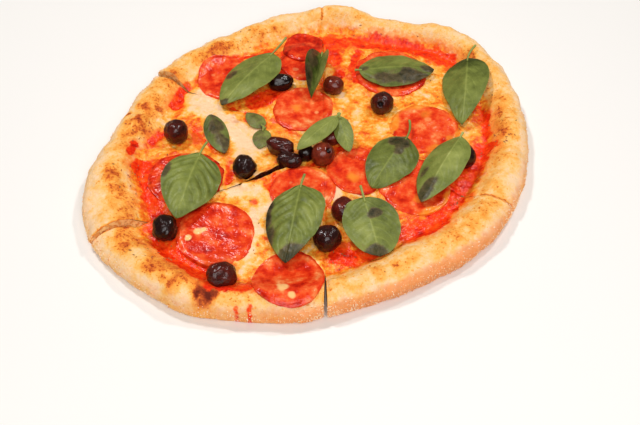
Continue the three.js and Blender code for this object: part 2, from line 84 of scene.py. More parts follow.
# %% [markdown]
# ## Unevenness
# Baked dough and melted cheese are lumpy at every size. Blender's Displace modifier could push such lumps out
# of a mesh, but here the same lumps also say where toppings lie and how colours mix, so they are worked out
# in numpy. Each corner of a grid gets a random height, and the heights blend between the corners. A height
# comes from mixing the corner's whole numbers, so a place gets the same lump in every run.

# %% Random lumps
# Large odd numbers that scramble a corner's whole numbers, and a turn that hides the directions of the grid
MIXERS = np.array([374761393, 668265263, 1442695041])
SEED_MIXER = 974711
LAST_MIXER = 1274126177
SEED_SHIFT = 13.7
TILT = np.array([[0.36, 0.48, -0.8], [-0.8, 0.6, 0.0], [0.48, 0.64, 0.6]])


def grain(points, size, seed):
    """Smooth random values from -1 to 1, in lumps about size millimetres across."""
    place = points @ TILT / size + SEED_SHIFT * seed
    cell = np.floor(place).astype(np.int64)
    share = place - cell
    share = share * share * (3 - 2 * share)
    total = np.zeros(place.shape[:-1])
    for corner in itertools.product((0, 1), repeat=3):
        mixed = (cell + corner) @ MIXERS + seed * SEED_MIXER
        mixed = (mixed ^ (mixed >> 13)) * LAST_MIXER
        value = ((mixed ^ (mixed >> 16)) & 0xFFFF) / 0x7FFF - 1
        total += value * np.where(corner, share, 1 - share).prod(axis=-1)
    return total


def cloud(points, size, seed):
    """Lumps with smaller lumps on them, from about -1 to 1."""
    octaves = [grain(points, size / 2 ** step, seed + step) / 2 ** step for step in range(3)]
    return 0.75 * sum(octaves)


middle_lump = cloud(np.zeros((1, 3)), 10, 1)[0]
print("height of one lump, at the middle of the pizza:", round(float(middle_lump), 3))

# %% [markdown]
# ## The dough
# The dough was stretched by hand into an oval, so its outline swells out and bends in, and its rim is puffed
# up more in some places than in others. It could be sculpted, but the fine mesh has to lie where the plain
# solids lie. So the formulas are those that the solids were made with: an outline, a rim that rises from the
# flat middle to a crest, and a rounded outside that curls in under.

# %% Outline of the dough
CRUST_RADIUS = 147.5
OVAL_STRETCH = 13
OVAL_HEADING = 38
RIM_WIDTH = 28
# Middle angle, spread in degrees, millimetres, and the slice if only one side of a cut has the swell
OUTLINE_SWELLS = [
    (8, 18, -4), (40, 7, 2.5), (66, 15, -11.5), (82, 6, 2),
    (175, 19, -10), (212, 16, 5), (240, 10, 1.5), (324, 18, 6),
]
WIDTH_SWELLS = [(75, 30, -3), (140, 25, 2), (195, 35, 5), (208, 11, 10, "left"), (325, 28, 5)]


def swell(angle, swells, slice_name=""):
    """Sum of the swells at each angle."""
    total = 0 * angle
    for at, spread, by, *only in swells:
        if not only or slice_name in only:
            turn = (angle - at + 180) % 360 - 180
            total = total + by * np.exp(-((turn / spread) ** 2))
    return total


def outline_radius(angle):
    oval = OVAL_STRETCH * np.cos(2 * np.radians(angle - OVAL_HEADING))
    return CRUST_RADIUS + oval + swell(angle, OUTLINE_SWELLS)


def inset_of(x, y, slice_name=""):
    """Share of the rim's width from the outside, 0, to the flat middle, 1 and more."""
    angle = angle_of(x, y)
    width = RIM_WIDTH + swell(angle, WIDTH_SWELLS, slice_name)
    return (outline_radius(angle) - np.hypot(x, y)) / width


outline = outline_radius(np.arange(360.0))
print("the outline is", round(outline.min(), 1), "to", round(outline.max(), 1), "mm from the middle")

# %% Rim and flat middle of the dough
BASE_THICKNESS = 5
FLOOR_WAVE = 0.5
RIM_HEIGHT = 16.5
RIM_RIPPLE = 0.7
CREST_INSET = 0.45
SLOPE_FULLNESS = 0.6
WAIST = 0.4
HEIGHT_SWELLS = [
    (45, 12, 2), (81, 7, 6), (120, 16, -2), (160, 8, 1.5), (198, 12, 3.5, "left"),
    (152, 12, -4.5, "left"), (212, 9, -4, "front_left"), (240, 14, 1), (300, 20, -1.5), (350, 16, 1),
]


def rim_height(angle, slice_name):
    ripple = np.sin(np.radians(17 * angle)) + np.sin(np.radians(29 * angle + 40))
    return RIM_HEIGHT + RIM_RIPPLE * ripple + swell(angle, HEIGHT_SWELLS, slice_name)


def dough_top(x, y, slice_name):
    """Height of the smooth dough, before it gets its baked relief."""
    inset = inset_of(x, y, slice_name)
    floor = BASE_THICKNESS + FLOOR_WAVE * np.sin(x / 23) * np.cos(y / 19)
    crest = rim_height(angle_of(x, y), slice_name)
    slope = floor + (crest - floor) * smooth(1 - inset, 0, 1 - CREST_INSET) ** SLOPE_FULLNESS
    waist = WAIST * crest
    from_crest = 1 - np.clip(inset, 0, CREST_INSET) / CREST_INSET
    shoulder = waist + (crest - waist) * np.sqrt(1 - from_crest ** 2)
    return np.where(inset >= CREST_INSET, slope, shoulder)


print("height of the crest at the front:", round(float(rim_height(270, "front_left")), 1), "mm")

# %% [markdown]
# ## The cuts
# Five cuts run from one crossing to the rim. A knife opens the stiff rim, but soft cheese flows together
# again behind it, so each cut gapes by a different width along its way. Boolean cuts would all be equally
# wide, so a slice is first made right up to its two cuts, and then its points near a cut are moved aside by
# half of the gap. Along an open cut the edge is also pressed down a little, as a knife leaves it.

# %% Cuts and slices
Cut = namedtuple("Cut", "heading opening")
Slice = namedtuple("Slice", "name first last start end")

CUT_CROSSING = np.array([7, -10.5])
# Heading, and pairs of distance from the crossing and width of the gap
CUTS = {
    "back": Cut(90.5, [(0, 0.05), (150, 0.1)]),
    "back_left": Cut(148, [(0, 0.05), (18, 0.0), (98, 0.0), (108, 0.1), (118, 1.2), (140, 2.4)]),
    "left": Cut(208.7, [
        (0, 0.1), (16, 1.0), (22, 5.6), (28, 4.2), (34, 6.2), (41, 4.2), (47, 5.6), (56, 2.4), (66, 0.6),
        (100, 0.1), (165, 0.1),
    ]),
    "front": Cut(270.2, [(0, 0.05), (104, 0.1), (116, 1.4), (135, 2.7)]),
    "right": Cut(336.3, [(0, 0.05), (110, 0.1), (125, 0.6), (150, 1.1)]),
}
SLICE_BETWEEN = {
    "back_left": ("back", "back_left"),
    "left": ("back_left", "left"),
    "front_left": ("left", "front"),
    "front_right": ("front", "right"),
    "back_right": ("right", "back"),
}


def make_slice(name):
    """A slice with its two cuts and the headings that it spans."""
    first, last = (CUTS[cut] for cut in SLICE_BETWEEN[name])
    turns = 0 if last.heading > first.heading else 360
    return Slice(name, first, last, first.heading, last.heading + turns)


SLICES = [make_slice(name) for name in SLICE_BETWEEN]
for piece in SLICES:
    print("slice", piece.name, "spans", round(piece.end - piece.start, 1), "degrees")

# %% Opening the cuts
CREASE_WIDTH = 1.1
MOVED_ASIDE = 6


def sides_of(piece):
    """For both cuts of a slice: the cut, the way along it and the way into the slice."""
    for cut, inward in ((piece.first, 90), (piece.last, -90)):
        yield cut, toward(cut.heading), toward(cut.heading + inward)


def gap_width(cut, from_crossing):
    """How far a cut gapes at a distance from the crossing."""
    return np.interp(from_crossing, *zip(*cut.opening))


def open_cuts(place, piece):
    """Moves the points near the two cuts of a slice aside, as far as each cut gapes there."""
    from_crossing = place - CUT_CROSSING
    for cut, ahead, inward in sides_of(piece):
        half_gap = gap_width(cut, from_crossing @ ahead) / 2
        shift = half_gap * (1 - smooth(from_crossing @ inward, 0, MOVED_ASIDE))
        place = place + inward * shift[..., None]
    return place


def crease_at(place, piece):
    """How close each point is to an open cut of its slice, from 0 to 1."""
    from_crossing = place - CUT_CROSSING
    nearest = np.zeros(place.shape[:-1])
    for cut, ahead, inward in sides_of(piece):
        is_open = smooth(gap_width(cut, from_crossing @ ahead), 0, 0.05)
        nearest = np.maximum(nearest, is_open * np.exp(-((from_crossing @ inward / CREASE_WIDTH) ** 2)))
    return nearest


def slice_names_at(x, y):
    """The name of the slice that each point lies on."""
    angle = angle_of(x - CUT_CROSSING[0], y - CUT_CROSSING[1])
    names = np.full(np.shape(angle), SLICES[0].name, dtype=object)
    for piece in SLICES:
        names[(angle - piece.start) % 360 <= piece.end - piece.start] = piece.name
    return names


for name, cut in CUTS.items():
    print("cut", name, "gapes by up to", max(width for _, width in cut.opening), "mm")

# %% [markdown]
# ## Baked relief
# The rim has soft lumps, a fine skin grain, and blisters where steam lifted the dough. Bump in the material
# could fake them, but it leaves the outline smooth, so they are real height. The large blisters are put where
# they are on the real pizza, and small ones are drawn at random along the crest. The list is used twice:
# blisters stand up, and they are the first places to turn brown.

# %% Blisters of the rim
# Place, radius, height and how far it browned
LARGE_BLISTERS = [
    (-61, -135, 8, 1.3, 1.0), (-65, -127, 4.5, 0.8, 0.7), (-122, 11, 7, 1.5, 0.78), (-119, 26, 5, 0.9, 0.66),
    (-111, 27, 4, 0.6, 0.6), (-131, -46, 6, 0.8, 0.6), (-127, -54, 5, 0.7, 0.5), (-103, -90, 4, 0.6, 0.66),
    (-82, -127, 5, 0.7, 0.54), (-130, 19, 2.5, 0.4, 0.7), (-119, 3, 4, 0.6, 0.6), (-116, -60, 5, 0.6, 0.46),
    (-77, -122, 5, 0.5, 0.54), (13, -105, 3, 0.2, 0.76), (14.5, -112, 2.5, 0.2, 0.7),
]
SMALL_BLISTERS = 170
SMALL_INSET = (0.2, 0.75)
SMALL_RADIUS = (1.2, 3.4)
SMALL_BROWN = (0.1, 0.4)
SMALL_RISE = 0.2
chance = np.random.default_rng(7)


def small_blister():
    angle = chance.uniform(0, 360)
    inset = chance.uniform(*SMALL_INSET)
    radius = chance.uniform(*SMALL_RADIUS)
    x, y = (outline_radius(angle) - inset * RIM_WIDTH) * toward(angle)
    return (x, y, radius, SMALL_RISE * radius, chance.uniform(*SMALL_BROWN))


BLISTERS = LARGE_BLISTERS + [small_blister() for _ in range(SMALL_BLISTERS)]
print("blisters on the rim:", len(BLISTERS))


# %% Relief of the crust
def crust_relief(points, inset):
    """How far the baked skin stands out from the smooth dough."""
    lumps = 1.0 * grain(points, 24, 1) + 0.8 * grain(points, 10, 2) + 0.45 * cloud(points, 6, 6)
    folds = 0.3 * (0.5 - np.abs(grain(points * [1, 1, 0.4], 8, 5)))
    skin = 0.3 * grain(points, 3.5, 3) + 0.18 * grain(points, 1.9, 4)
    raised = np.zeros(points.shape[:-1])
    for x, y, radius, height, _ in BLISTERS:
        away = ((points[..., 0] - x) ** 2 + (points[..., 1] - y) ** 2) / radius ** 2
        raised = np.maximum(raised, height * np.clip(1 - away, 0, 1) ** 0.8)
    return (lumps + folds + skin + raised) * (1 - smooth(inset, 1.05, 1.5))


def crust_skin(place, slice_name):
    """Height of the baked dough, relief and all."""
    x, y = place[..., 0], place[..., 1]
    height = dough_top(x, y, slice_name)
    return height + crust_relief(with_height(place, height), inset_of(x, y, slice_name))


bumps = crust_relief(np.array([[*LARGE_BLISTERS[0][:2], RIM_HEIGHT]]), np.array([CREST_INSET]))
print("relief on the largest blister:", round(float(bumps[0]), 2), "mm")

# %% [markdown]
# ## Sauce and white cheese
# The sauce was ladled on in strokes that the cheese left bare near the rim, and fresh mozzarella melted into
# white pools. An image could be painted for this, but a list of strokes is short, stays sharp at any size and
# can be changed by hand. A stroke is a line with a width. A strength near 0 leaves little more than the oil
# that stains what lies next to the sauce.

# %% Where the sauce and the white cheese went
# Half width of a stroke, its strength and the places that it runs through
SAUCE_STROKES = [
    (6.5, 1.0, [(9, 106), (25, 107), (50, 105), (66, 102), (80, 97), (93, 90), (101, 84)]),
    (6, 0.9, [(13, 98), (15, 84)]),
    (4, 0.8, [(34, 96), (29, 80), (32, 62), (46, 54), (64, 50)]),
    (7, 0.4, [(119, 34), (122, 20), (121, 6), (115, -8)]),
    (7, 1.0, [(117, -8), (105, -26), (94, -45), (85, -61), (75, -76), (58, -83)]),
    (6, 1.0, [(14, -99), (24, -101), (36, -96)]),
    (6.5, 1.0, [(-99, -76), (-95, -88), (-88, -98), (-75, -108), (-66, -119)]),
    (7.5, 0.9, [(-56, -124), (-45, -127), (-34, -126)]),
    (6, 1.0, [(-115, -27), (-109, -40), (-104, -54), (-100, -68)]),
    (9, 0.9, [(-72, -104), (-86, -92), (-84, -76)]),
    (4, 0.5, [(-124, -20), (-122, -11)]),
    (4, 0.9, [(-112, -2), (-107, 5)]),
    (4.5, 1.0, [(-101, 34), (-96, 50)]),
    (3, 0.6, [(-85, 56), (-78, 73), (-64, 85), (-48, 92), (-32, 96)]),
    (6, 0.9, [(-14, 106), (-20, 92), (-24, 78), (-30, 66)]),
    (6, 1.0, [(-28, 46), (-44, 36)]),
    (5, 0.9, [(3, -26), (5, -50)]),
    (6, 0.7, [(20, -12), (48, -14), (60, -26)]),
    (4, 0.3, [(-26, -34), (-30, -54)]),
    (5, 0.7, [(10, 60), (20, 70)]),
    (9, 0.0, [(-86, 12), (-70, -8)]),
    (3.5, 0.6, [(-58, -25), (-56, -32), (-57, -41)]),
    (5, 0.1, [(-60, 32), (-48, 27), (-40, 23)]),
    (8, 0.1, [(-22, 18), (-14, 4)]),
    (9, -0.2, [(-96, -2), (-92, -8)]),
    (8, -0.3, [(48, 28), (50, 22)]),
    (8, -0.3, [(-28, -16), (-12, -28)]),
    (8, -0.3, [(6, -98), (10, -102)]),
    (8, -0.3, [(-48, -36), (-44, -39)]),
    (9, -0.1, [(64, -68), (46, -76)]),
    (5.5, 0.24, [(-44.4, -142.5), (-44.2, -149)]),
    (5.5, 0.26, [(-36.4, -142.5), (-36.1, -150)]),
]
WHITE_STROKES = [
    (9, 1.0, [(-88, 46), (-79, 35), (-70, 23), (-56, 12), (-47, 1), (-47, -12)]),
    (6, 0.9, [(-86, 32), (-72, 24)]),
    (7, 1.0, [(-42, 8), (-38, -6)]),
    (7, 0.8, [(-52, -46), (-38, -46), (-28, -56), (-34, -66)]),
    (6, 0.6, [(-38, -66), (-36, -84), (-40, -100)]),
    (9, 0.3, [(20, 46), (24, 38)]),
    (5, 0.6, [(16, -44), (14, -60)]),
    (4, 0.7, [(6, -28), (14, -36)]),
    (8, 0.1, [(80, 46), (84, 42)]),
]


def stroke_depth(points, strokes):
    """How deep each point lies in the strokes: 1 on their middle line, 0 at their edge and less outside."""
    deepest = np.full(points.shape[:-1], -3.0)
    for half_width, strength, places in strokes:
        for start, stop in itertools.pairwise(np.array(places, dtype=float)):
            away = points[..., :2] - start
            share = np.clip(away @ (stop - start) / ((stop - start) @ (stop - start)), 0, 1)
            gap = np.linalg.norm(away - share[..., None] * (stop - start), axis=-1)
            deepest = np.maximum(deepest, strength - gap / half_width)
    return deepest


print("strokes of sauce:", len(SAUCE_STROKES), "and of white cheese:", len(WHITE_STROKES))

# %% [markdown]
# ## Browning
# An oven browns what stands up and what lies towards the fire. The rim is darker on some arcs of its inner
# slope, paler on others, dark on its blisters and tan in soft spots, and the cheese is toasted here and
# there. Noise alone would put brown anywhere, so the arcs and spots are listed, and noise only frays them.

# %% Where the top is browned
# Angle, spread and strength of the golden inner slope, and of darker and paler arcs of the whole rim
GOLDEN_ARCS = [(175, 34, 0.36), (122, 20, 0.38), (226, 20, 0.45), (78, 28, 0.08), (14, 24, 0.14)]
BROWNING_ARCS = [
    (90, 22, -0.08), (45, 12, -0.06), (298, 14, -0.04), (15, 14, 0.07), (225, 16, 0.08), (198, 16, -0.1),
    (315, 12, 0.08),
]
# Places, radius and strength of soft tan spots and of toasted cheese
TAN_SPOTS = [
    (109, -51, 7, 0.2), (119, -52, 6, 0.2), (100, -78, 8, 0.22), (90, -92, 7, 0.18), (76, -104, 6, 0.2),
    (52, -116, 7, 0.24), (38, -117, 7, 0.22), (129, 1, 7, 0.3), (124, -12, 7, 0.3), (130, 20, 6, 0.24),
    (-43, 108, 9, 0.3), (-60, 97, 8, 0.26), (-28, 114, 8, 0.26), (94, -57, 3, 0.5), (118, 84, 7, 0.2),
]
TOASTED_SPOTS = [
    (-55, 23, 8, 1.0), (-36, 34, 9, 0.8), (-21, 11, 10, 0.6), (-34, 103, 10, 0.8), (36, 5, 10, 0.4),
    (-80, 2, 8, 0.7), (66, -68, 10, 0.5), (13, -103, 5, 1.0), (14, -110, 4, 0.9), (-25, 30, 8, 0.5),
    (48, 44, 6, 0.4), (-33, -97, 4, 0.8), (-42, -60, 6, 0.4), (86, 44, 7, 0.4),
]


def patches(points, spots, ragged, seed):
    """How strongly each point lies in round spots with ragged edges."""
    found = np.zeros(points.shape[:-1])
    uneven = ragged * cloud(points, 6, seed)
    for x, y, radius, strength in spots:
        away = np.hypot(points[..., 0] - x, points[..., 1] - y) / radius
        found = np.maximum(found, strength * smooth(1.2 - away + uneven, 0, 0.9))
    return found


print("tan spots:", len(TAN_SPOTS), "and toasted spots:", len(TOASTED_SPOTS))

# %% [markdown]
# ## Masks of the top
# Colour follows cooking, so sauce, stain, white cheese, toast and baking each become one number between 0 and
# 1 at every point of a mesh. A material could work them out again from noise nodes, but then colour and shape
# would not agree. Here the mesh carries the numbers as named attributes, and the material reads them.

# %% Sauce, stain, toast and baking
SLOPE_MIDDLE = 0.6
SLOPE_SPREAD = 0.24
SLOPE_MOST = 0.28
HALO_BROWN = 0.16


def baking_at(flat, inset):
    """How far each place of the rim is baked."""
    angle = angle_of(flat[..., 0], flat[..., 1])
    golden = np.clip(0.55 + 1.2 * cloud(flat, 12, 26), 0, 1.2)
    slope = np.exp(-(((inset - SLOPE_MIDDLE) / SLOPE_SPREAD) ** 2))
    slope = slope * golden * (0.03 + swell(angle, GOLDEN_ARCS))
    on_top = smooth(inset, 0.08, 0.3)
    warm = 0.14 + swell(angle, BROWNING_ARCS) + 0.12 * cloud(flat, 15, 27) + 0.08 * cloud(flat, 5, 28)
    spots = [(x, y, 1.1 * radius, brown) for x, y, radius, _, brown in LARGE_BLISTERS]
    halos = [(x, y, 1.9 * radius, HALO_BROWN) for x, y, radius, _, _ in LARGE_BLISTERS]
    specks = [(x, y, radius, 0.35 * brown) for x, y, radius, _, brown in BLISTERS[len(LARGE_BLISTERS):]]
    blush = 0.04 + on_top * warm + np.minimum(slope, SLOPE_MOST) + 0.6 * patches(flat, TAN_SPOTS, 0.6, 29)
    blush = blush + patches(flat, halos, 0.7, 32) + patches(flat, specks, 0.3, 30)
    return np.clip(np.maximum(blush, patches(flat, spots, 0.5, 31)), 0, 1)


def top_masks(points, inset):
    flat = points * [1, 1, 0]
    depth = stroke_depth(flat, SAUCE_STROKES) + 0.5 * cloud(flat, 8, 21)
    white = smooth(stroke_depth(flat, WHITE_STROKES) + 0.35 * cloud(flat, 7, 23), -0.25, 0.4)
    toast = patches(flat, TOASTED_SPOTS, 0.8, 24) * (0.6 + 0.6 * cloud(flat, 3, 25))
    return {
        "sauce": smooth(depth, -0.6, 0.45) * (1 - 0.85 * white),
        "stain": smooth(depth, -1.6, -0.2),
        "white": white,
        "toast": np.clip(toast, 0, 1),
        "baked": baking_at(flat, inset),
    }


pool = top_masks(np.array([[-70.0, 23.0, 0.0]]), np.array([2.0]))
print("in the white pool:", {name: round(float(values[0]), 2) for name, values in pool.items()})

# %% [markdown]
# ## From arrays to pieces
# Every piece below is a grid of points bent into shape: rows and columns, closed up at the ends. Blender's
# ready-made meshes would need as much bending, so one helper joins the grid's neighbours into faces. Another
# turns points and faces into a Blender mesh, writes its masks as attributes, turns all faces outward and lets
# the piece ride on the pizza's only body.

# %% Faces of a grid
def grid_faces(index):
    """Faces between neighbouring rows and columns. A point that repeats at an end is named once."""
    corners = [index[:-1, :-1], index[:-1, 1:], index[1:, 1:], index[1:, :-1]]
    quads = np.stack(corners, axis=-1).reshape(-1, 4).tolist()
    faces = [list(dict.fromkeys(quad)) for quad in quads]
    return [face for face in faces if len(face) > 2]


def grid_index(shape, round_it=False):
    """Numbers of the points of a grid. If it goes round, its first line follows the last."""
    index = np.arange(shape[0] * shape[1]).reshape(shape[:2])
    return np.concatenate([index, index[:1]], axis=0) if round_it else index


def keep_used(points, faces):
    """Leaves out the points that no face uses."""
    used = sorted(set(itertools.chain.from_iterable(faces)))
    order = np.zeros(len(points), dtype=int)
    order[used] = np.arange(len(used))
    return points[used], [order[face].tolist() for face in faces]


print("faces between 3 rows and 4 columns:", len(grid_faces(grid_index((3, 4)))))


# %% Making a piece
def add_to_scene(name, data):
    made = bpy.data.objects.new(name, data)
    bpy.context.scene.collection.objects.link(made)
    return made


def make_piece(name, points, faces, masks, nodes, slot, finishes, cut_faces=0, sharp=50):
    """A mesh piece that stands for its solids. The last cut_faces faces take the second finish."""
    mesh = bpy.data.meshes.new(name)
    mesh.from_pydata((points * MM).tolist(), [], faces)
    for mask, values in masks.items():
        attribute = mesh.attributes.new(mask, "FLOAT", "POINT")
        attribute.data.foreach_set("value", np.asarray(values, dtype=np.float32).ravel())
    for finish in finishes:
        mesh.materials.append(finish)
    finish_of_face = np.zeros(len(faces), dtype=np.int32)
    finish_of_face[len(faces) - cut_faces:] = min(1, len(finishes) - 1)
    mesh.polygons.foreach_set("material_index", finish_of_face)
    mesh.polygons.foreach_set("use_smooth", np.ones(len(faces), dtype=bool))
    solid = bmesh.new()
    solid.from_mesh(mesh)
    bmesh.ops.recalc_face_normals(solid, faces=solid.faces)
    solid.to_mesh(mesh)
    solid.free()
    mesh.set_sharp_from_angle(angle=np.radians(sharp))
    made = add_to_scene(name, mesh)
    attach(made, "root")
    if nodes:
        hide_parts(*nodes)
    return made


# %% [markdown]
# ## Shader maths as plain sums
# A material is a small program made of nodes. Wiring Math nodes by hand hides what they do, so one class
# wraps a socket and lets Python's own operators add the nodes. A finish holds the material, and its node
# method can add any node at all: its type, then its settings, then the values or wires of its sockets.

# %% A wire that can be added and multiplied
class Wire:
    """One output socket, usable in sums."""

    def __init__(self, finish, socket):
        self.finish = finish
        self.socket = socket

    def __add__(self, other):
        return self.finish.math("ADD", self, other)

    def __sub__(self, other):
        return self.finish.math("SUBTRACT", self, other)

    def __rsub__(self, other):
        return self.finish.math("SUBTRACT", other, self)

    def __mul__(self, other):
        return self.finish.math("MULTIPLY", self, other)

    __radd__ = __add__
    __rmul__ = __mul__

    def step(self, low, high):
        """A soft step of this value from 0 at low to 1 at high."""
        settings = {"interpolation_type": "SMOOTHSTEP"}
        return self.finish.node("ShaderNodeMapRange", settings, {0: self, 1: low, 2: high})


print("what a wire can do:", [name.strip("_") for name in vars(Wire) if callable(vars(Wire)[name])])


# %% A finish and its nodes
class Finish:
    """A material in the making."""

    def __init__(self, name):
        self.material = bpy.data.materials.new(name)
        self.material.use_nodes = True
        self.tree = self.material.node_tree
        self.tree.nodes.clear()
        self.place = self.node("ShaderNodeTexCoord", out="Object")

    def node(self, kind, settings=None, sockets=None, out=0):
        made = self.tree.nodes.new(kind)
        for name, value in (settings or {}).items():
            if name == "stops":
                self.set_stops(made.color_ramp, value)
            else:
                setattr(made, name, value)
        for name, value in (sockets or {}).items():
            if isinstance(value, Wire):
                self.tree.links.new(value.socket, made.inputs[name])
            else:
                made.inputs[name].default_value = value
        return Wire(self, made.outputs[out]) if made.outputs else None

    @staticmethod
    def set_stops(ramp, stops):
        while len(ramp.elements) < len(stops):
            ramp.elements.new(0.5)
        for element, (position, colour) in zip(ramp.elements, stops):
            element.position = position
            element.color = colour

    def math(self, operation, first, second):
        return self.node("ShaderNodeMath", {"operation": operation}, {0: first, 1: second})

    def mask(self, name):
        return self.node("ShaderNodeAttribute", {"attribute_name": name}, out="Fac")

    def noise(self, size, detail=3):
        """Random values round 0.5 in lumps of that size in millimetres."""
        sockets = {"Vector": self.place, "Scale": 1 / (size * MM), "Detail": detail}
        return self.node("ShaderNodeTexNoise", None, sockets, "Fac")

    def ramp(self, value, stops):
        return self.node("ShaderNodeValToRGB", {"stops": stops}, {0: value}, "Color")

    def mix(self, share, first, second):
        return self.node("ShaderNodeMix", {"data_type": "RGBA"}, {0: share, 6: first, 7: second}, 2)

    def bump(self, height, distance):
        """A normal bent by relief whose full height is that many millimetres."""
        sockets = {"Height": height, "Distance": distance * MM, "Strength": 1.0}
        return self.node("ShaderNodeBump", None, sockets, "Normal")

    def surface(self, sockets):
        shader = self.node("ShaderNodeBsdfPrincipled", None, sockets, "BSDF")
        self.node("ShaderNodeOutputMaterial", None, {"Surface": shader})
        print("finish", self.material.name, "has", len(self.tree.nodes), "nodes")
        return self.material


# %% Colours
def tint(red, green, blue):
    """A colour as a screen shows it, 0 to 255, turned into the linear light that shaders use."""
    share = np.array([red, green, blue]) / 255
    linear = np.where(share <= 0.04045, share / 12.92, ((share + 0.055) / 1.055) ** 2.4)
    return (*linear.tolist(), 1.0)


print("linear light of a middle grey:", round(tint(128, 128, 128)[0], 3))

# %% [markdown]
# ## Finish of the baked dough
# Dough goes through the same colours as it bakes: cream, straw, gold, orange brown and at last dark brown.
# Each could be a material of its own, but they run into each other, so the crust needs only one number, how
# far it is baked, and a ramp. Fine noise breaks up the ramp's bands, and oil from the sauce stains the inner
# slope orange. The sauce itself is a second ramp, laid over whatever is below it.

# %% Colours of baking and of sauce
BAKING = [
    (0.0, tint(255, 216, 172)), (0.14, tint(255, 206, 140)), (0.28, tint(255, 190, 98)),
    (0.44, tint(252, 162, 64)), (0.62, tint(222, 108, 42)), (0.8, tint(168, 66, 32)),
    (1.0, tint(106, 38, 24)),
]
SAUCE = [
    (0.25, tint(184, 22, 5)), (0.42, tint(232, 40, 9)), (0.55, tint(250, 62, 14)),
    (0.7, tint(253, 90, 24)), (0.9, tint(254, 136, 48)),
]
OIL_STAIN = tint(252, 132, 46)


def baked_colour(finish):
    """Dough as it is baked, with dark flecks and stains of oil."""
    baked = finish.mask("baked")
    uneven = 0.5 * (finish.noise(8.0) - 0.5) + 0.44 * (finish.noise(3.6) - 0.5)
    uneven = uneven + 0.26 * (finish.noise(1.3, 2) - 0.5)
    flecks = (finish.noise(1.7, 2) + 0.3 * baked).step(0.66, 0.78) * 0.36 * (1 - baked)
    colour = finish.ramp(baked + uneven + flecks, BAKING)
    soaked = (finish.mask("stain") + 1.2 * (finish.noise(2.6) - 0.5)).step(0.45, 1.15)
    return finish.mix(0.7 * soaked, colour, OIL_STAIN)


def sauce_share(finish):
    """Where the sauce covers what lies below it, with a ragged edge."""
    ragged = 0.9 * (finish.noise(2.4, 3) - 0.5) + 0.6 * (finish.noise(6.5, 3) - 0.5)
    return (finish.mask("sauce") + ragged).step(0.3, 0.74)


def sauced(finish, share, colour):
    """A colour with the sauce laid over its share."""
    tone = 0.53 + 0.8 * (finish.noise(8.0, 3) - 0.5) + 0.7 * (finish.noise(2.6, 4) - 0.5)
    return finish.mix(share, colour, finish.ramp(tone, SAUCE))


print("stops from pale to dark dough:", len(BAKING), "and from deep to light sauce:", len(SAUCE))

# %% [markdown]
# ## Finish of crust and crumb
# The outside of the rim is a dull, evenly toasted orange, dusted with flour low down, and its top takes the
# colours of baking. Two materials would meet in a line, so one material blends them by masks. The cut faces
# show the crumb, pale, with the shade in its holes painted darker: that is a second material, because a
# knife's cut is a clean border.

# %% Crust and crumb
TOASTED_SIDE = tint(247, 153, 97)
FLOUR = tint(255, 226, 196)
CRUMB_HOLE_SHADE = tint(238, 164, 88)
CRUMB_DOUGH = tint(253, 206, 138)


def crust_finish():
    finish = Finish("baked_crust")
    share = sauce_share(finish)
    skin = finish.noise(1.5, 4) + 0.6 * finish.noise(0.6, 2)
    grains = (finish.noise(0.7, 1) + 0.5 * (finish.mask("flour") - 1)).step(0.52, 0.58)
    side = (finish.mask("side") + 0.8 * (finish.noise(5.0) - 0.5)).step(0.1, 0.9)
    colour = finish.mix(0.8 * side, baked_colour(finish), TOASTED_SIDE)
    colour = finish.mix(0.3 * grains, colour, FLOUR)
    return finish.surface({
        "Base Color": sauced(finish, share, colour),
        "Roughness": 0.75 - 0.4 * share,
        "Normal": finish.bump(skin + 0.8 * grains, 0.7),
        "Specular IOR Level": 0.08,
    })


def crumb_finish():
    finish = Finish("torn_crumb")
    # Painted shade: the holes of the crumb are coloured darker than the dough between them
    dough = finish.noise(2.6, 3).step(0.4, 0.56)
    return finish.surface({
        "Base Color": finish.mix(dough, CRUMB_HOLE_SHADE, CRUMB_DOUGH),
        "Roughness": 0.9,
        "Normal": finish.bump(dough, 0.6),
        "Specular IOR Level": 0.15,
    })


CRUST = crust_finish()
CRUMB = crumb_finish()

# %% [markdown]
# ## Lines of a slice
# A slice of crust is a wedge with a puffed rim and two flat cut faces. It could be one disc that is cut five
# times, but cutting leaves slivers along the cuts. So each slice is meshed on its own, along lines that fan
# out from the crossing of the cuts and lie closer together next to them.

# %% A fan of lines
CRUST_STEP = 1.0
HALVINGS = 36
CLOSER_AT_CUTS = 0.7


def reach(direction, inset, slice_name, measure=inset_of):
    """How far along each line from the crossing an inset of the rim is met."""
    near = np.zeros(len(direction))
    far = near + 2 * CRUST_RADIUS
    for _ in range(HALVINGS):
        middle = (near + far) / 2
        place = CUT_CROSSING + direction * middle[:, None]
        inside = measure(place[:, 0], place[:, 1], slice_name) > inset
        near, far = np.where(inside, middle, near), np.where(inside, far, middle)
    return near


def fan(piece, step):
    """Directions of the lines of a slice, on average step millimetres apart at the rim."""
    span = piece.end - piece.start
    count = int(np.radians(span) * CRUST_RADIUS / step)
    share = np.linspace(0, 1, count + 1)
    closer = CLOSER_AT_CUTS * np.sin(2 * np.pi * share) / (2 * np.pi)
    return toward(piece.start + span * (share - closer))


print("lines in the slice at the left:", len(fan(SLICES[1], CRUST_STEP)))

# %% [markdown]
# ## Mesh of the crust
# On each line the outline runs over the flat middle, up the inner slope, over the crest, down the round
# outside and back underneath. Relief that moved points straight up would stretch the steep outside. So it
# pushes the outline out at right angles, within the line's own plane, and both cut faces stay flat.

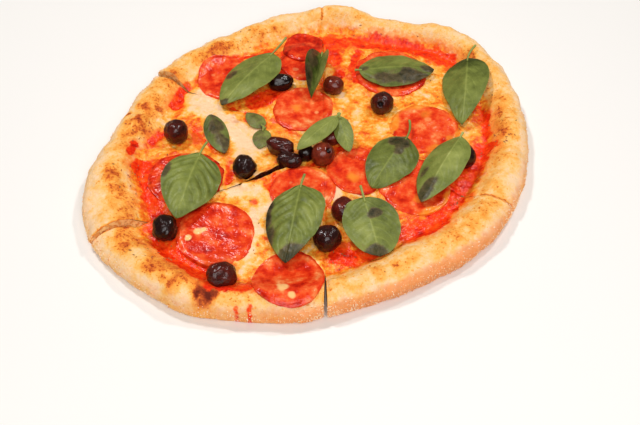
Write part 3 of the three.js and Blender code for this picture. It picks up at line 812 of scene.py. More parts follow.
# %% Outline along a line
FLAT_INSET = 1.4
FOOT_INSET = 0.15
SLOPE_INSETS = np.linspace(FLAT_INSET, CREST_INSET, 30)
SHOULDER_INSETS = CREST_INSET * (1 - np.sin(np.linspace(0, np.pi / 2, 20)))[1:]
TUCK = np.linspace(0, np.pi / 2, 10)[1:]
UNDERSIDE_INSETS = [0.6, FLAT_INSET]
OUTLINE_INSETS = [SLOPE_INSETS, SHOULDER_INSETS, FOOT_INSET * (1 - np.cos(TUCK)), UNDERSIDE_INSETS]
# Points of the flat middle, as shares of the way to the slope
MIDDLE_SHARES = [0, 0.5]
FIRST_SHOULDER = len(MIDDLE_SHARES) + len(SLOPE_INSETS)
FIRST_TUCK = FIRST_SHOULDER + len(SHOULDER_INSETS)


def crust_outline(piece):
    """The lines of a slice, how far along them their points lie, and the height of the smooth dough."""
    direction = fan(piece, CRUST_STEP)
    insets = np.concatenate(OUTLINE_INSETS)
    along = np.stack([reach(direction, inset, piece.name) for inset in insets], axis=1)
    middle = along[:, :1] * MIDDLE_SHARES
    along = np.concatenate([middle, along, middle[:, ::-1]], axis=1)
    place = CUT_CROSSING + direction[:, None, :] * along[:, :, None]
    height = dough_top(place[..., 0], place[..., 1], piece.name)
    waist = WAIST * rim_height(angle_of(place[..., 0], place[..., 1]), piece.name)
    tucked = slice(FIRST_TUCK, FIRST_TUCK + len(TUCK))
    height[:, FIRST_TUCK:] = 0
    height[:, tucked] = waist[:, tucked] * (1 - np.sin(TUCK))
    return direction, along, height


print("points on each line:", sum(len(insets) for insets in OUTLINE_INSETS) + 2 * len(MIDDLE_SHARES))

# %% Mesh of a crust slice
CRUST_CREASE = 0.9
LEVEL_FOOT = 3


def close_ends(index):
    """Joins the first points of all lines into one, and the last points too."""
    index[:, 0] = index[0, 0]
    index[:, -1] = index[0, -1]
    return index


def crust_slice(piece):
    """Points and faces of a slice of crust. The last two faces are its cuts."""
    direction, along, height = crust_outline(piece)
    place = CUT_CROSSING + direction[:, None, :] * along[:, :, None]
    inset = inset_of(place[..., 0], place[..., 1], piece.name)
    on_slope = np.arange(along.shape[1]) < FIRST_SHOULDER
    outward = np.where(on_slope, 0, -np.gradient(height, axis=1))
    upward = np.where(on_slope, 1, np.gradient(along, axis=1))
    relief = crust_relief(with_height(place, height), inset) - CRUST_CREASE * crease_at(place, piece)
    relief = relief * smooth(height, 0, LEVEL_FOOT) / np.maximum(np.hypot(outward, upward), 1e-9)
    along = along + outward * relief
    height = np.maximum(height + upward * relief, 0)
    place = open_cuts(CUT_CROSSING + direction[:, None, :] * along[:, :, None], piece)
    index = close_ends(grid_index(height.shape))
    faces = grid_faces(index) + [index[0].tolist(), index[-1].tolist()]
    return keep_used(with_height(place, height).reshape(-1, 3), faces)


print("step between points at the rim:", CRUST_STEP, "mm")

# %% [markdown]
# ## Five slices of crust
# Besides the masks of its top, the crust has some of its own: the toasted outside, flour low down on the side
# that faces the front, and a dark line of painted shade along the crease of each open cut. They could be
# painted on, but they follow from the height and the inset of each point, so a few soft steps are enough.

# %% The slices and their masks
# Angle, spread and strength of the side that faces the front
FRONT_SIDE = [(295, 45, 1.0)]
# How dark the painted shade along the crease of an open cut is, on the baking ramp
CREASE_SHADE_STRENGTH = 0.62
LOW_BROWN = 0.44


def crust_masks(points, piece):
    x, y = points[:, 0], points[:, 1]
    inset = inset_of(x, y, piece.name)
    masks = top_masks(points, inset)
    low = (1 - smooth(points[:, 2], 6, 15)) * (1 - smooth(inset, 0.1, 0.4))
    facing = 0.2 + 0.8 * swell(angle_of(x, y), FRONT_SIDE)
    baked = masks["baked"] * (1 - 0.8 * low) + LOW_BROWN * low * facing
    # Painted shade: a dark line along the crease of each open cut, carried in the baked mask
    painted_crease_shade = CREASE_SHADE_STRENGTH * crease_at(points[:, :2], piece)
    return {
        "baked": np.clip(np.maximum(baked, painted_crease_shade), 0, 1),
        "stain": masks["stain"] * smooth(inset, 0.3, 0.5),
        "sauce": masks["sauce"],
        "side": facing * (1 - smooth(inset, 0.03, 0.25)),
        "flour": low * facing * smooth(points[:, 2], 1.5, 4),
    }


CRUST_SKINS = []
for piece in SLICES:
    points, faces = crust_slice(piece)
    masks = crust_masks(points, piece)
    CRUST_SKINS.append((points, masks))
    made = make_piece(f"baked_crust_{piece.name}", points, faces, masks,
                      [f"crust_{piece.name}"], "crust", [CRUST, CRUMB], cut_faces=2)
    print(made.name, len(made.data.polygons), "faces")

# %% [markdown]
# ## Finish of sauce and cheese
# Sauce and cheese bake into one layer. Two materials would meet in a hard line, so they share one. A ramp
# takes the cheese from white through cream and yellow to oily orange, more evenly where mozzarella pooled.
# Toasted spots go brown, and the sauce mask lays red over it. Towards the rim the layer takes the colour of
# the crust, which hides where one mesh ends and the next begins. The sides of the layer show only in the
# open cuts, so they get a plain dark finish of their own: dark sauce, with the shade of the narrow gap
# painted in.

# %% Melted cheese
CHEESE = [
    (0.0, tint(255, 210, 166)), (0.2, tint(255, 200, 130)), (0.38, tint(255, 186, 82)),
    (0.58, tint(254, 157, 45)), (0.8, tint(248, 121, 33)), (1.0, tint(234, 84, 25)),
]
TOAST = tint(196, 88, 26)


def cheese_finish():
    finish = Finish("melted_cheese")
    pools = finish.noise(11.0, 3)
    lumps = finish.noise(5.0, 3)
    curds = finish.noise(2.2, 3)
    white = finish.mask("white")
    uneven = 1.4 * (pools - 0.5) + 1.5 * (lumps - 0.5) + 0.9 * (curds - 0.5)
    rich = 0.5 + (1 - 0.45 * white) * uneven + 0.3 * finish.mask("stain") - 0.52 * white
    browned = (finish.mask("toast") + 1.2 * (finish.noise(2.6, 3) - 0.5)).step(0.35, 1.1)
    colour = finish.mix(0.4 * browned, finish.ramp(rich, CHEESE), TOAST)
    bare = (finish.mask("bare") + 0.9 * (curds - 0.5)).step(0.2, 0.8)
    colour = finish.mix(bare, colour, baked_colour(finish))
    share = sauce_share(finish)
    relief = lumps + 0.6 * curds + 0.2 * finish.noise(0.9, 2)
    return finish.surface({
        "Base Color": sauced(finish, share, colour),
        "Roughness": 0.26 - 0.06 * share + 0.4 * bare * (1 - share) + 0.3 * (finish.noise(3.4, 2) - 0.5),
        "Normal": finish.bump(relief, 0.9),
        "Specular IOR Level": 0.27,
    })


MELTED_CHEESE = cheese_finish()

# %% Sauce and painted shade in the open cuts
# Painted shade: the narrow gap of a cut is dark, so the sides of the layer are coloured dark red brown, part
# sauce and part shade
SHADED_SAUCE_DARKEST = tint(44, 13, 7)
SHADED_SAUCE_PALER = tint(96, 34, 16)


def gap_sauce_and_shade_finish():
    finish = Finish("cut_cheese")
    return finish.surface({
        "Base Color": finish.mix(finish.noise(2.2, 3).step(0.4, 0.6), SHADED_SAUCE_DARKEST, SHADED_SAUCE_PALER),
        "Roughness": 0.6,
        "Specular IOR Level": 0.15,
    })


GAP_SAUCE_AND_SHADE = gap_sauce_and_shade_finish()

# %% [markdown]
# ## The bed of cheese
# Everything else lies on the cheese, so its smooth top comes first. A Shrinkwrap modifier could drop the
# toppings onto the finished mesh, but a formula gives the height of any place at once, and it is the one that
# the solids were set down on.

# %% Smooth top of the cheese
CHEESE_THICKNESS = 2.95
CHEESE_EDGE = 0.9
CHEESE_REACH = 0.78
CHEESE_LUMP = 0.5


def cheese_top(x, y, slice_name):
    """The smooth top of the cheese, which toppings lie on."""
    lump = CHEESE_LUMP * np.sin(x / 13 + 1) * np.sin(y / 12)
    share = smooth(inset_of(x, y, slice_name), CHEESE_REACH, CHEESE_REACH + 0.6)
    return dough_top(x, y, slice_name) + CHEESE_EDGE + (CHEESE_THICKNESS + lump - CHEESE_EDGE) * share


def bed_height(x, y):
    """The smooth top of the cheese on whichever slice a point lies."""
    names = slice_names_at(x, y)
    height = np.zeros(np.shape(x))
    for piece in SLICES:
        height = np.where(names == piece.name, cheese_top(x, y, piece.name), height)
    return height


middle_bed = bed_height(np.array([0.0]), np.array([0.0]))[0]
print("height of the cheese at the middle:", round(float(middle_bed), 1), "mm")

# %% [markdown]
# ## Lumps of cheese
# The real layer is uneven: it thins out to nothing on the rim's inner slope, sinks where only sauce is left,
# stands proud where mozzarella pooled, banks up round the pepperoni and is rolled up along one side of the
# open cut. Sculpting would give any shape, but each of these follows from a mask or a distance that is
# already there, so they are added up.

# %% Skin of the cheese
CHEESE_END = 0.71
CHEESE_LEAST = 0.2
CHEESE_LIFT = 0.06
CHEESE_SLOPE = 9
BANK_WIDTH = 3.2
# A stroke along which the edge of one slice is rolled up, and how high
ROLLED_EDGE = [(5, 1.0, [(-18, -27.5), (-27, -32.5), (-36, -37.5), (-46, -43)])]
ROLLED_SLICE = "front_left"
ROLLED_HEIGHT = 2.4
# Middles and radii of the pepperoni slices
PEPPERONI_PLACES = [
    (-63, 62, 23.5), (-7.5, 98.5, 17), (-8.5, 80, 19), (-8, 30, 22), (57, 69, 26), (77, 9.5, 24.5),
    (66, -44, 24.5), (30, -30.5, 21), (-7, -48.5, 21.5), (-84, -37, 25), (-60.5, -84.5, 25),
    (-14, -120.5, 22),
]


def ragged_inset(x, y, slice_name):
    """The inset, shifted to and fro so that the layer's edge wanders."""
    around = with_height(toward(angle_of(x, y)) * CRUST_RADIUS, 0.0)
    return inset_of(x, y, slice_name) - 0.07 * cloud(around, 12, 41)


def banked_up(place):
    """How close each point is to the edge of a pepperoni slice, where cheese and sauce bank up."""
    nearest = np.zeros(place.shape[:-1])
    for x, y, radius in PEPPERONI_PLACES:
        from_edge = np.hypot(place[..., 0] - x, place[..., 1] - y) - radius
        nearest = np.maximum(nearest, np.exp(-((from_edge / BANK_WIDTH) ** 2)))
    return nearest


def cheese_skin(place, slice_name, masks):
    """Height of sauce and cheese with all their lumps, and the distance from the layer's edge."""
    x, y = place[..., 0], place[..., 1]
    flat = with_height(place, 0.0)
    below = crust_skin(place, slice_name)
    lumps = 0.7 * cloud(flat, 10, 42) + 0.5 * cloud(flat, 4.5, 43)
    lumps = lumps * (1 - 0.6 * masks["white"]) - 0.5 * masks["sauce"] + 0.4 * masks["white"]
    lumps = lumps + banked_up(place) * (1.0 + 0.9 * cloud(flat, 13, 45))
    rolled = smooth(stroke_depth(flat, ROLLED_EDGE) + 0.9 * cloud(flat, 8, 46), 0, 0.8)
    lumps = lumps + ROLLED_HEIGHT * rolled * (slice_name == ROLLED_SLICE)
    from_edge = (ragged_inset(x, y, slice_name) - CHEESE_END) * RIM_WIDTH
    thickness = np.maximum(cheese_top(x, y, slice_name) + lumps - below, CHEESE_LEAST)
    return below + CHEESE_LIFT + thickness * smooth(from_edge, 0, CHEESE_SLOPE), from_edge


print("slices of pepperoni that cheese banks up round:", len(PEPPERONI_PLACES))

# %% [markdown]
# ## Five layers of cheese
# A layer of sauce and cheese is closed all round: its top is fine, its underside is hidden in the dough and
# needs few points, and its two sides are the cuts. A Solidify modifier would give the underside as many
# points as the top, so both are made here, from the same fan of lines as the crust.

# %% Mesh of a layer
CHEESE_STEP = 1.0
CHEESE_CREASE = 0.9
CHEESE_SUNK = 0.35
UNDERSIDE_ROWS = 3


def cheese_slice(piece):
    """Points, faces and masks of a layer. The last two faces are its cuts."""
    direction = fan(piece, CHEESE_STEP)
    edge = reach(direction, CHEESE_END, piece.name, ragged_inset)
    rows = int(edge.max() / CHEESE_STEP)
    along = edge[:, None] * np.linspace(0, 1, rows + 1)
    place = CUT_CROSSING + direction[:, None, :] * along[:, :, None]
    flat = with_height(place, 0.0)
    masks = top_masks(flat, inset_of(place[..., 0], place[..., 1], piece.name))
    crease = CHEESE_CREASE * crease_at(place, piece)
    top, from_edge = cheese_skin(place, piece.name, masks)
    bottom = crust_skin(place, piece.name) - CHEESE_SUNK
    masks["bare"] = 1 - smooth(from_edge + 2.5 * cloud(flat, 6, 44), 0, 7)
    place = open_cuts(place, piece)
    below_rows = np.append(np.arange(rows, 1, -UNDERSIDE_ROWS), 0)
    upper = with_height(place, top - crease)
    lower = with_height(place, bottom - crease)[:, below_rows]
    points = np.concatenate([upper, lower], axis=1)
    index = close_ends(grid_index(points.shape))
    faces = grid_faces(index) + [index[0].tolist(), index[-1].tolist()]
    values = [np.concatenate([mask, mask[:, below_rows]], axis=1) for mask in masks.values()]
    stacked = np.concatenate([points, np.stack(values, axis=-1)], axis=-1)
    kept, faces = keep_used(stacked.reshape(-1, stacked.shape[-1]), faces)
    return kept[:, :3], faces, dict(zip(masks, kept[:, 3:].T))


for piece in SLICES:
    points, faces, masks = cheese_slice(piece)
    made = make_piece(f"melted_cheese_{piece.name}", points, faces, masks,
                      [f"cheese_{piece.name}"], "cheese", [MELTED_CHEESE, GAP_SAUCE_AND_SHADE], cut_faces=2)
    print(made.name, len(made.data.polygons), "faces")

# %% [markdown]
# ## Finish of the pepperoni
# Pepperoni is marbled: pale fat in red meat, in clouds and grains. A Voronoi texture gives grains with sharp
# borders, but baking melts them into each other, so noise of three sizes goes through one ramp from dark meat
# to fat. Some slices have an orange core or large pale grains, and cheese runs over the edges of others.

# %% Cured pepperoni
MEAT = [
    (0.0, tint(160, 16, 5)), (0.26, tint(208, 36, 12)), (0.48, tint(234, 64, 24)),
    (0.68, tint(242, 98, 46)), (0.86, tint(248, 140, 80)), (1.0, tint(252, 186, 126)),
]
CORE = tint(252, 150, 48)
FAT = tint(255, 196, 126)


def pepperoni_finish():
    finish = Finish("cured_pepperoni")
    clouds = finish.noise(10.0, 2)
    marbling = finish.noise(4.5, 3)
    grains = finish.noise(1.3, 2)
    fat = 0.46 + 1.2 * (clouds - 0.5) + 0.9 * (marbling - 0.5) + 0.3 * (grains - 0.5)
    fat = fat + finish.mask("tone") - 0.1 * finish.mask("skin")
    meat = finish.ramp(fat, MEAT)
    colour = finish.mix(0.8 * finish.mask("core"), meat, CORE)
    colour = finish.mix(finish.mask("fat").step(0.2, 0.8), colour, FAT)
    melted = (finish.mask("melted") + 0.5 * (marbling - 0.5)).step(0.2, 0.9)
    colour = finish.mix(0.8 * melted, colour, finish.ramp(0.62 + 1.2 * (marbling - 0.5), CHEESE))
    return finish.surface({
        "Base Color": colour,
        "Roughness": 0.2 + 0.2 * (finish.noise(3.4, 2) - 0.5),
        "Normal": finish.bump(finish.noise(1.8, 2) + 0.5 * marbling, 0.32),
        "Specular IOR Level": 0.28,
    })


PEPPERONI_MEAT = pepperoni_finish()

# %% [markdown]
# ## Twelve slices of pepperoni
# No two slices have the same colour, so each has its own tone and its own share of cheese. A random choice
# would do for a made-up pizza, but these follow the real one, slice by slice, and so do the large grains of
# fat and the orange cores.

# %% Tones, fat and cores
# How far each slice is from the usual colour, down to dark and up to pale
PEPPERONI_TONES = [0.02, -0.16, -0.04, 0.12, 0.04, 0.1, 0.05, 0.07, 0.1, -0.14, -0.02, 0.02]
# How much cheese runs over the edge of each slice
PEPPERONI_MELTED = [0, 0, 0.3, 0.2, 0.4, 0.9, 0.8, 0.5, 0.7, 0.4, 0.4, 0.2]
Disc = namedtuple("Disc", "x y radius tone melted")
PEPPERONI = [Disc(*place) for place in zip(*zip(*PEPPERONI_PLACES), PEPPERONI_TONES, PEPPERONI_MELTED)]
# Large grains of fat and orange cores: number of the disc, place from its middle, radius and strength
FAT_SPOTS = [
    (11, -11, 2, 3.6, 1.0), (11, -8.5, 3, 2.8, 1.0), (11, -17, -4, 2.6, 0.9), (12, -3, -9, 5.2, 1.0),
    (12, 1.5, -15, 3.6, 0.9), (3, -6, -8, 3, 0.4), (3, 2, -10, 2.4, 0.35), (6, 3, 8, 3.5, 0.4),
    (6, -6, 0, 3, 0.35), (4, 10, -5, 2.2, 0.5), (9, -8, 6, 2.6, 0.4), (1, -12, 4, 2.5, 0.4),
    (10, -12, 6, 2.6, 0.35),
]
CORE_SPOTS = [
    (4, -3, 0, 5, 0.9), (8, -4, -7, 5, 1.0), (5, -8, -20, 3, 0.8), (7, 2, -12, 4, 0.7), (6, 2, 14, 5, 0.6),
]


def spots_on(points, spots, number, disc):
    mine = [(disc.x + x, disc.y + y, *spot) for owner, x, y, *spot in spots if owner == number]
    return patches(points, mine, 0.4, 55)


def pepperoni_masks(points, number, disc):
    away = np.hypot(points[:, 0] - disc.x, points[:, 1] - disc.y) / disc.radius
    streaks = 0.1 * np.sin(9 * away + 3 * cloud(points, 14, 56))
    return {
        "skin": smooth(away, 0.88, 0.98),
        "fat": spots_on(points, FAT_SPOTS, number, disc),
        "core": spots_on(points, CORE_SPOTS, number, disc),
        "tone": disc.tone + streaks,
        "melted": disc.melted * smooth(away + 0.3 * cloud(points, 14, 57), 0.78, 1.1),
    }


print("slices of pepperoni:", len(PEPPERONI), "with", len(FAT_SPOTS), "large grains of fat")

# %% [markdown]
# ## Mesh of a pepperoni slice
# A slice is a thin disc that drapes over the cheese, is lifted where it crosses one that lies below, and
# curls up a little at its edge, which dips into the cheese here and there. A cloth simulation could drape it,
# but the bed's height is known, so the disc simply takes a smoothed copy of it. The first slices in the list
# lie over later ones.

# %% A disc on its bed
PEPPERONI_THICKNESS = 1.9
PEPPERONI_CUP = 0.7
PEPPERONI_OVAL = 0.025
PEPPERONI_CORNERS = 0.015
PEPPERONI_DIP = 1.7
EDGE_ROUNDING = 1.0
DISC_RINGS = 24
DISC_SIDES = 110
# The bed is smoothed over two rings of places round each point
INNER_RING = 5
OUTER_RING = 10
RING_SIDES = 8
DISC_LIFT = 0.3
DISC_SUNK = 1.1
OVERLAP_SHARE = 0.8


def disc_bed(number, x, y):
    """What a slice of pepperoni lies on: cheese, a rim, or a slice further down the list."""
    names = slice_names_at(x, y)
    ring = toward(np.arange(RING_SIDES) * 360 / RING_SIDES)
    around = [(0, 0), *(INNER_RING * ring), *(OUTER_RING * ring)]
    bed = sum(bed_height(x + aside, y + ahead) for aside, ahead in around) / len(around) + DISC_LIFT
    for piece in SLICES:
        skin = crust_skin(np.stack([x, y], axis=-1), piece.name)
        bed = np.where(names == piece.name, np.maximum(bed, skin - DISC_SUNK), bed)
    for lower in PEPPERONI[number:]:
        away = np.hypot(x - lower.x, y - lower.y)
        over = 1 - smooth(away, lower.radius - 3, lower.radius + 6)
        bed = bed + OVERLAP_SHARE * PEPPERONI_THICKNESS * over
    return bed


def disc_mesh(number, disc):
    angle = np.arange(DISC_SIDES) * 360 / DISC_SIDES
    share = np.sqrt(np.linspace(0, 1, DISC_RINGS + 1))
    oval = PEPPERONI_OVAL * np.sin(np.radians(2 * angle + 3 * disc.x))
    corners = PEPPERONI_CORNERS * np.sin(np.radians(3 * angle + disc.y))
    edge = with_height(toward(angle) * disc.radius, 50.0 * number)
    radius = disc.radius * (1 + oval + corners + 0.035 * cloud(edge, 9, 51))
    place = [disc.x, disc.y] + toward(angle)[:, None, :] * (radius[:, None] * share)[..., None]
    flat = with_height(place, 0.0)
    bed = disc_bed(number, place[..., 0], place[..., 1])
    dip = PEPPERONI_DIP * smooth(cloud(edge, 22, 52), -0.1, 0.6)[:, None] * share ** 8
    rounding = EDGE_ROUNDING * smooth(share, 0.88, 1)
    top = bed + PEPPERONI_THICKNESS + PEPPERONI_CUP * share ** 4 - dip - rounding
    top = top + 0.45 * cloud(flat, 9, 53) + 0.2 * cloud(flat, 3.6, 54)
    lower = with_height(place, np.minimum(bed - 0.2, top - 0.7))[:, ::-8]
    points = np.concatenate([with_height(place, top), lower], axis=1)
    index = close_ends(grid_index(points.shape, round_it=True))
    return keep_used(points.reshape(-1, 3), grid_faces(index))


print("points on the top of each slice:", DISC_SIDES * DISC_RINGS + 1)

# %% [markdown]
# ## Where the knife went through
# The knife cut four of the slices in two. The disc could be made in two halves, but its outline is round, and
# a straight cut through it is just what Blender's bisect gives: it clears one side, and a fill closes the
# hole with a clean face. Each half then moves aside with its slice of pizza.

# %% Cutting and placing the slices
def cut_to_slice(points, faces, piece):
    """The part of a closed mesh that lies between the two cuts of a slice."""
    solid = bmesh.new()
    corners = [solid.verts.new(point) for point in points.tolist()]
    for face in faces:
        solid.faces.new([corners[corner] for corner in face])
    for _, _, inward in sides_of(piece):
        everything = solid.verts[:] + solid.edges[:] + solid.faces[:]
        bmesh.ops.bisect_plane(solid, geom=everything, dist=1e-4, plane_co=(*CUT_CROSSING, 0),
                               plane_no=(*-inward, 0), clear_outer=True)
        open_edges = [edge for edge in solid.edges if edge.is_boundary]
        bmesh.ops.holes_fill(solid, edges=open_edges, sides=0)
    solid.verts.index_update()
    kept = np.array([corner.co for corner in solid.verts])
    kept_faces = [[corner.index for corner in face.verts] for face in solid.faces]
    solid.free()
    kept[:, 2] -= 0.5 * CHEESE_CREASE * crease_at(kept[:, :2], piece)
    kept[:, :2] = open_cuts(kept[:, :2], piece)
    return kept, kept_faces


for number, disc in enumerate(PEPPERONI, start=1):
    for piece in SLICES:
        node = f"pepperoni_{number}_{piece.name}"
        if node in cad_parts:
            points, faces = cut_to_slice(*disc_mesh(number, disc), piece)
            masks = pepperoni_masks(points, number, disc)
            made = make_piece(f"cured_{node}", points, faces, masks, [node], "pepperoni", [PEPPERONI_MEAT])
            print(made.name, len(made.data.polygons), "faces")

# %% [markdown]
# ## Finish of the olives
# The olives were baked whole. They are shiny and go from nearly black to red brown. One glossy colour would
# look like plastic, so noise of two sizes moves each olive's own tone up and down a ramp, and a fine bump
# breaks up the gloss.

# %% Olive skin
OLIVE = [
    (0.0, tint(14, 4, 5)), (0.35, tint(40, 10, 9)), (0.6, tint(88, 22, 14)), (0.85, tint(140, 52, 28)),
    (1.0, tint(206, 140, 96)),
]


def olive_finish():
    finish = Finish("olive_skin")
    mottled = finish.noise(4.0, 3)
    pores = finish.noise(0.9, 2)
    # The tone mask holds each olive's own tone and the painted shade of its hole and wrinkles
    tone = finish.mask("tone") + 0.5 * (mottled - 0.5) + 0.3 * (pores - 0.5)
    return finish.surface({
        "Base Color": finish.ramp(tone, OLIVE),
        "Roughness": 0.2 + 0.2 * (finish.noise(2.0, 2) - 0.5),
        "Normal": finish.bump(finish.noise(2.2, 2) + 0.3 * pores, 0.4),
        "Specular IOR Level": 0.42,
    })


OLIVE_SKIN = olive_finish()

# %% [markdown]
# ## Fifteen olives
# Each olive has its own size, heading, tone and wrinkles, and two show the hole where the stone was pushed
# out. Copies of one olive would be quick, but the eye finds copies at once, so each is listed as it lies.

# %% Where the olives lie
Olive = namedtuple("Olive", "x y size turn tone wrinkle hole")
# Middle, half sizes, heading of the long way, tone from black to brown, depth of the wrinkles, and the
# direction of the hole as heading and height in degrees
OLIVES = [
    Olive(-94.5, 0.5, (8.5, 8.5, 9.2), 20, 0.46, 0.9, None),
    Olive(-92, -83, (8.5, 8, 8), 100, 0.16, 1.2, None),
    Olive(-53.5, -121, (9.5, 8, 8), 10, 0.48, 1.2, None),
    Olive(-46, -31, (8.5, 8, 8), 60, 0.2, 1.4, None),
    Olive(-22.5, -12, (10.5, 6.4, 6.6), -20, 0.44, 1.4, None),
    Olive(-16.5, -24, (9, 6, 6.2), -12, 0.34, 0.9, None),
    Olive(-5.5, -17, (6, 5.5, 6.5), 80, 0.12, 0.6, None),
    Olive(6, -19.5, (8.4, 8, 8.4), 0, 0.66, 0.3, (-30, 52)),
    Olive(-24, 53.5, (9, 6.8, 6.6), 5, 0.06, 1.4, None),
    Olive(14, 51.5, (8, 7.5, 7), -20, 0.64, 0.5, None),
    Olive(48.5, 31.5, (8.5, 8, 8), 30, 0.46, 0.8, (255, 35)),
    Olive(8.5, -91.5, (9, 8.5, 8.5), 40, 0.34, 0.8, None),
    Olive(19.5, -67.5, (9, 8, 7), 50, 0.56, 0.8, None),
    Olive(101, -21, (8.5, 8, 8), 120, 0.26, 0.8, None),
    Olive(12, -1.5, (7.5, 7, 6), 10, 0.6, 0.5, None),
]
print("olives:", len(OLIVES), "of which", sum(olive.hole is not None for olive in OLIVES), "show their hole")

# %% [markdown]
# ## Mesh of an olive
# A baked olive has shrunk a little, so its skin is drawn into dents and wrinkles. A sphere with a Displace
# modifier comes close, but here the wrinkles also carry painted shade: the colour is darker in their creases
# and lighter on their ridges. So each olive is a ball of rows and columns, squeezed to its three half sizes
# and made a little square, as olives are that lay pressed together in a jar. A hole is made by pushing the
# skin in around one point, and its inside is painted darker, as shade.

# %% A wrinkled ball
OLIVE_SUNK = 0.3
OLIVE_SQUARE = 2.25
OLIVE_SHRUNK = 0.95
DENT_DEPTH = 0.085
WRINKLE_DEPTH = 0.075
OLIVE_BANDS = 44
OLIVE_SIDES = 60
HOLE_ANGLE = 16
HOLE_DEPTH = 0.35


def ball(bands, sides):
    """Unit points of a ball whose ends lie on the x axis, as a grid of sides by bands."""
    band = np.radians(np.linspace(0, 180, bands + 1))
    side = np.arange(sides) * 360 / sides
    around = toward(side)[:, None, :] * np.sin(band)[:, None]
    ahead = np.broadcast_to(np.cos(band), around.shape[:-1])
    return np.concatenate([ahead[..., None], around], axis=-1)


def hole_at(shape, olive):
    """How deep each point of the skin lies in the hole, from 0 to 1."""
    if not olive.hole:
        return np.zeros(shape.shape[:-1])
    heading, rise = np.radians(olive.hole)
    aim = np.array([np.cos(heading) * np.cos(rise), np.sin(heading) * np.cos(rise), np.sin(rise)])
    facing = (shape @ aim) / np.linalg.norm(shape, axis=-1)
    return smooth(facing, np.cos(np.radians(HOLE_ANGLE)), np.cos(np.radians(HOLE_ANGLE / 2)))


def olive_mesh(number, olive):
    skin = ball(OLIVE_BANDS, OLIVE_SIDES)
    squared = (np.abs(skin) ** OLIVE_SQUARE).sum(axis=-1) ** (-1 / OLIVE_SQUARE)
    seeded = skin * [7, 8, 8] + 40.0 * number
    dents = grain(seeded, 6, 61) + 0.5 * grain(seeded, 3, 62)
    wrinkles = 0.4 - np.abs(grain(seeded * [0.6, 1, 1], 2.8, 63))
    out = squared * OLIVE_SHRUNK + olive.wrinkle * (DENT_DEPTH * dents + WRINKLE_DEPTH * wrinkles)
    turn = np.radians(olive.turn)
    spin = np.array([[np.cos(turn), -np.sin(turn), 0], [np.sin(turn), np.cos(turn), 0], [0, 0, 1]])
    shape = (skin * out[..., None] * olive.size) @ spin.T
    hole = hole_at(shape, olive)
    shape = shape * (1 - HOLE_DEPTH * hole[..., None])
    bed = bed_height(np.array([olive.x]), np.array([olive.y]))[0]
    middle = [olive.x, olive.y, bed + olive.size[2] * (1 - OLIVE_SUNK)]
    # Painted shade: darker inside the hole and in the creases of the wrinkles, lighter on their ridges
    tone = olive.tone - 0.5 * hole + 0.12 * wrinkles
    index = close_ends(grid_index(out.shape, round_it=True))
    stacked = np.concatenate([shape + middle, tone[..., None]], axis=-1)
    kept, faces = keep_used(stacked.reshape(-1, 4), grid_faces(index))
    return kept[:, :3], faces, {"tone": kept[:, 3]}


for number, olive in enumerate(OLIVES, start=1):
    made = make_piece(f"baked_olive_{number}", *olive_mesh(number, olive),
                      [f"olive_{number}"], "olive", [OLIVE_SKIN], sharp=80)
    print(made.name, len(made.data.polygons), "faces")

# %% [markdown]
# ## Finish of the leaves
# A basil leaf is soft green with paler veins, and heat and oil bruise it to grey brown. It is too uneven for
# noise alone, but tone, veins and bruises are known at each point of the blade, so the mesh carries them as
# masks. One ramp makes the greens, another makes the bruises, and noise frays the border between them.

# %% Basil leaf
LEAF = [
    (0.0, tint(26, 32, 10)), (0.3, tint(74, 84, 32)), (0.55, tint(120, 130, 60)), (0.78, tint(150, 158, 82)),
    (1.0, tint(196, 200, 130)),
]
BRUISE = [(0.2, tint(34, 28, 22)), (0.5, tint(84, 66, 48)), (0.85, tint(134, 112, 80))]


def leaf_finish():
    finish = Finish("basil_leaf")
    broad = finish.noise(12.0, 2)
    patchy = finish.noise(4.5, 3)
    pores = finish.noise(0.9, 2)
    # The tone mask holds the leaf's own tone and also painted light and shade of its halves, folds and puffed
    # skin
    tone = finish.mask("tone") + 0.5 * (broad - 0.5) + 0.26 * (patchy - 0.5) + 0.14 * (pores - 0.5)
    green = finish.ramp(tone + 0.2 * finish.mask("vein"), LEAF)
    mark = finish.mask("bruise")
    bruise = (mark + 0.7 * (finish.noise(3.2, 4) - 0.5)).step(0.2, 0.75)
    brown = finish.ramp(0.8 - 0.5 * mark + 0.7 * (patchy - 0.5) + 0.4 * (pores - 0.5), BRUISE)
    return finish.surface({
        "Base Color": finish.mix(0.85 * bruise, green, brown),
        "Roughness": 0.4 + 0.3 * (finish.noise(2.2, 2) - 0.5),
        "Normal": finish.bump(patchy + 0.4 * finish.noise(1.5, 3), 0.35),
        "Specular IOR Level": 0.22,
    })


BASIL_LEAF = leaf_finish()

# %% [markdown]
# ## Ten leaves and two sprigs
# The leaves were strewn on after baking, and no two are alike. Copies that are turned and scaled would show,
# so each leaf is listed with its own measures, and the two small sprigs are listed as
# pairs of leaves.

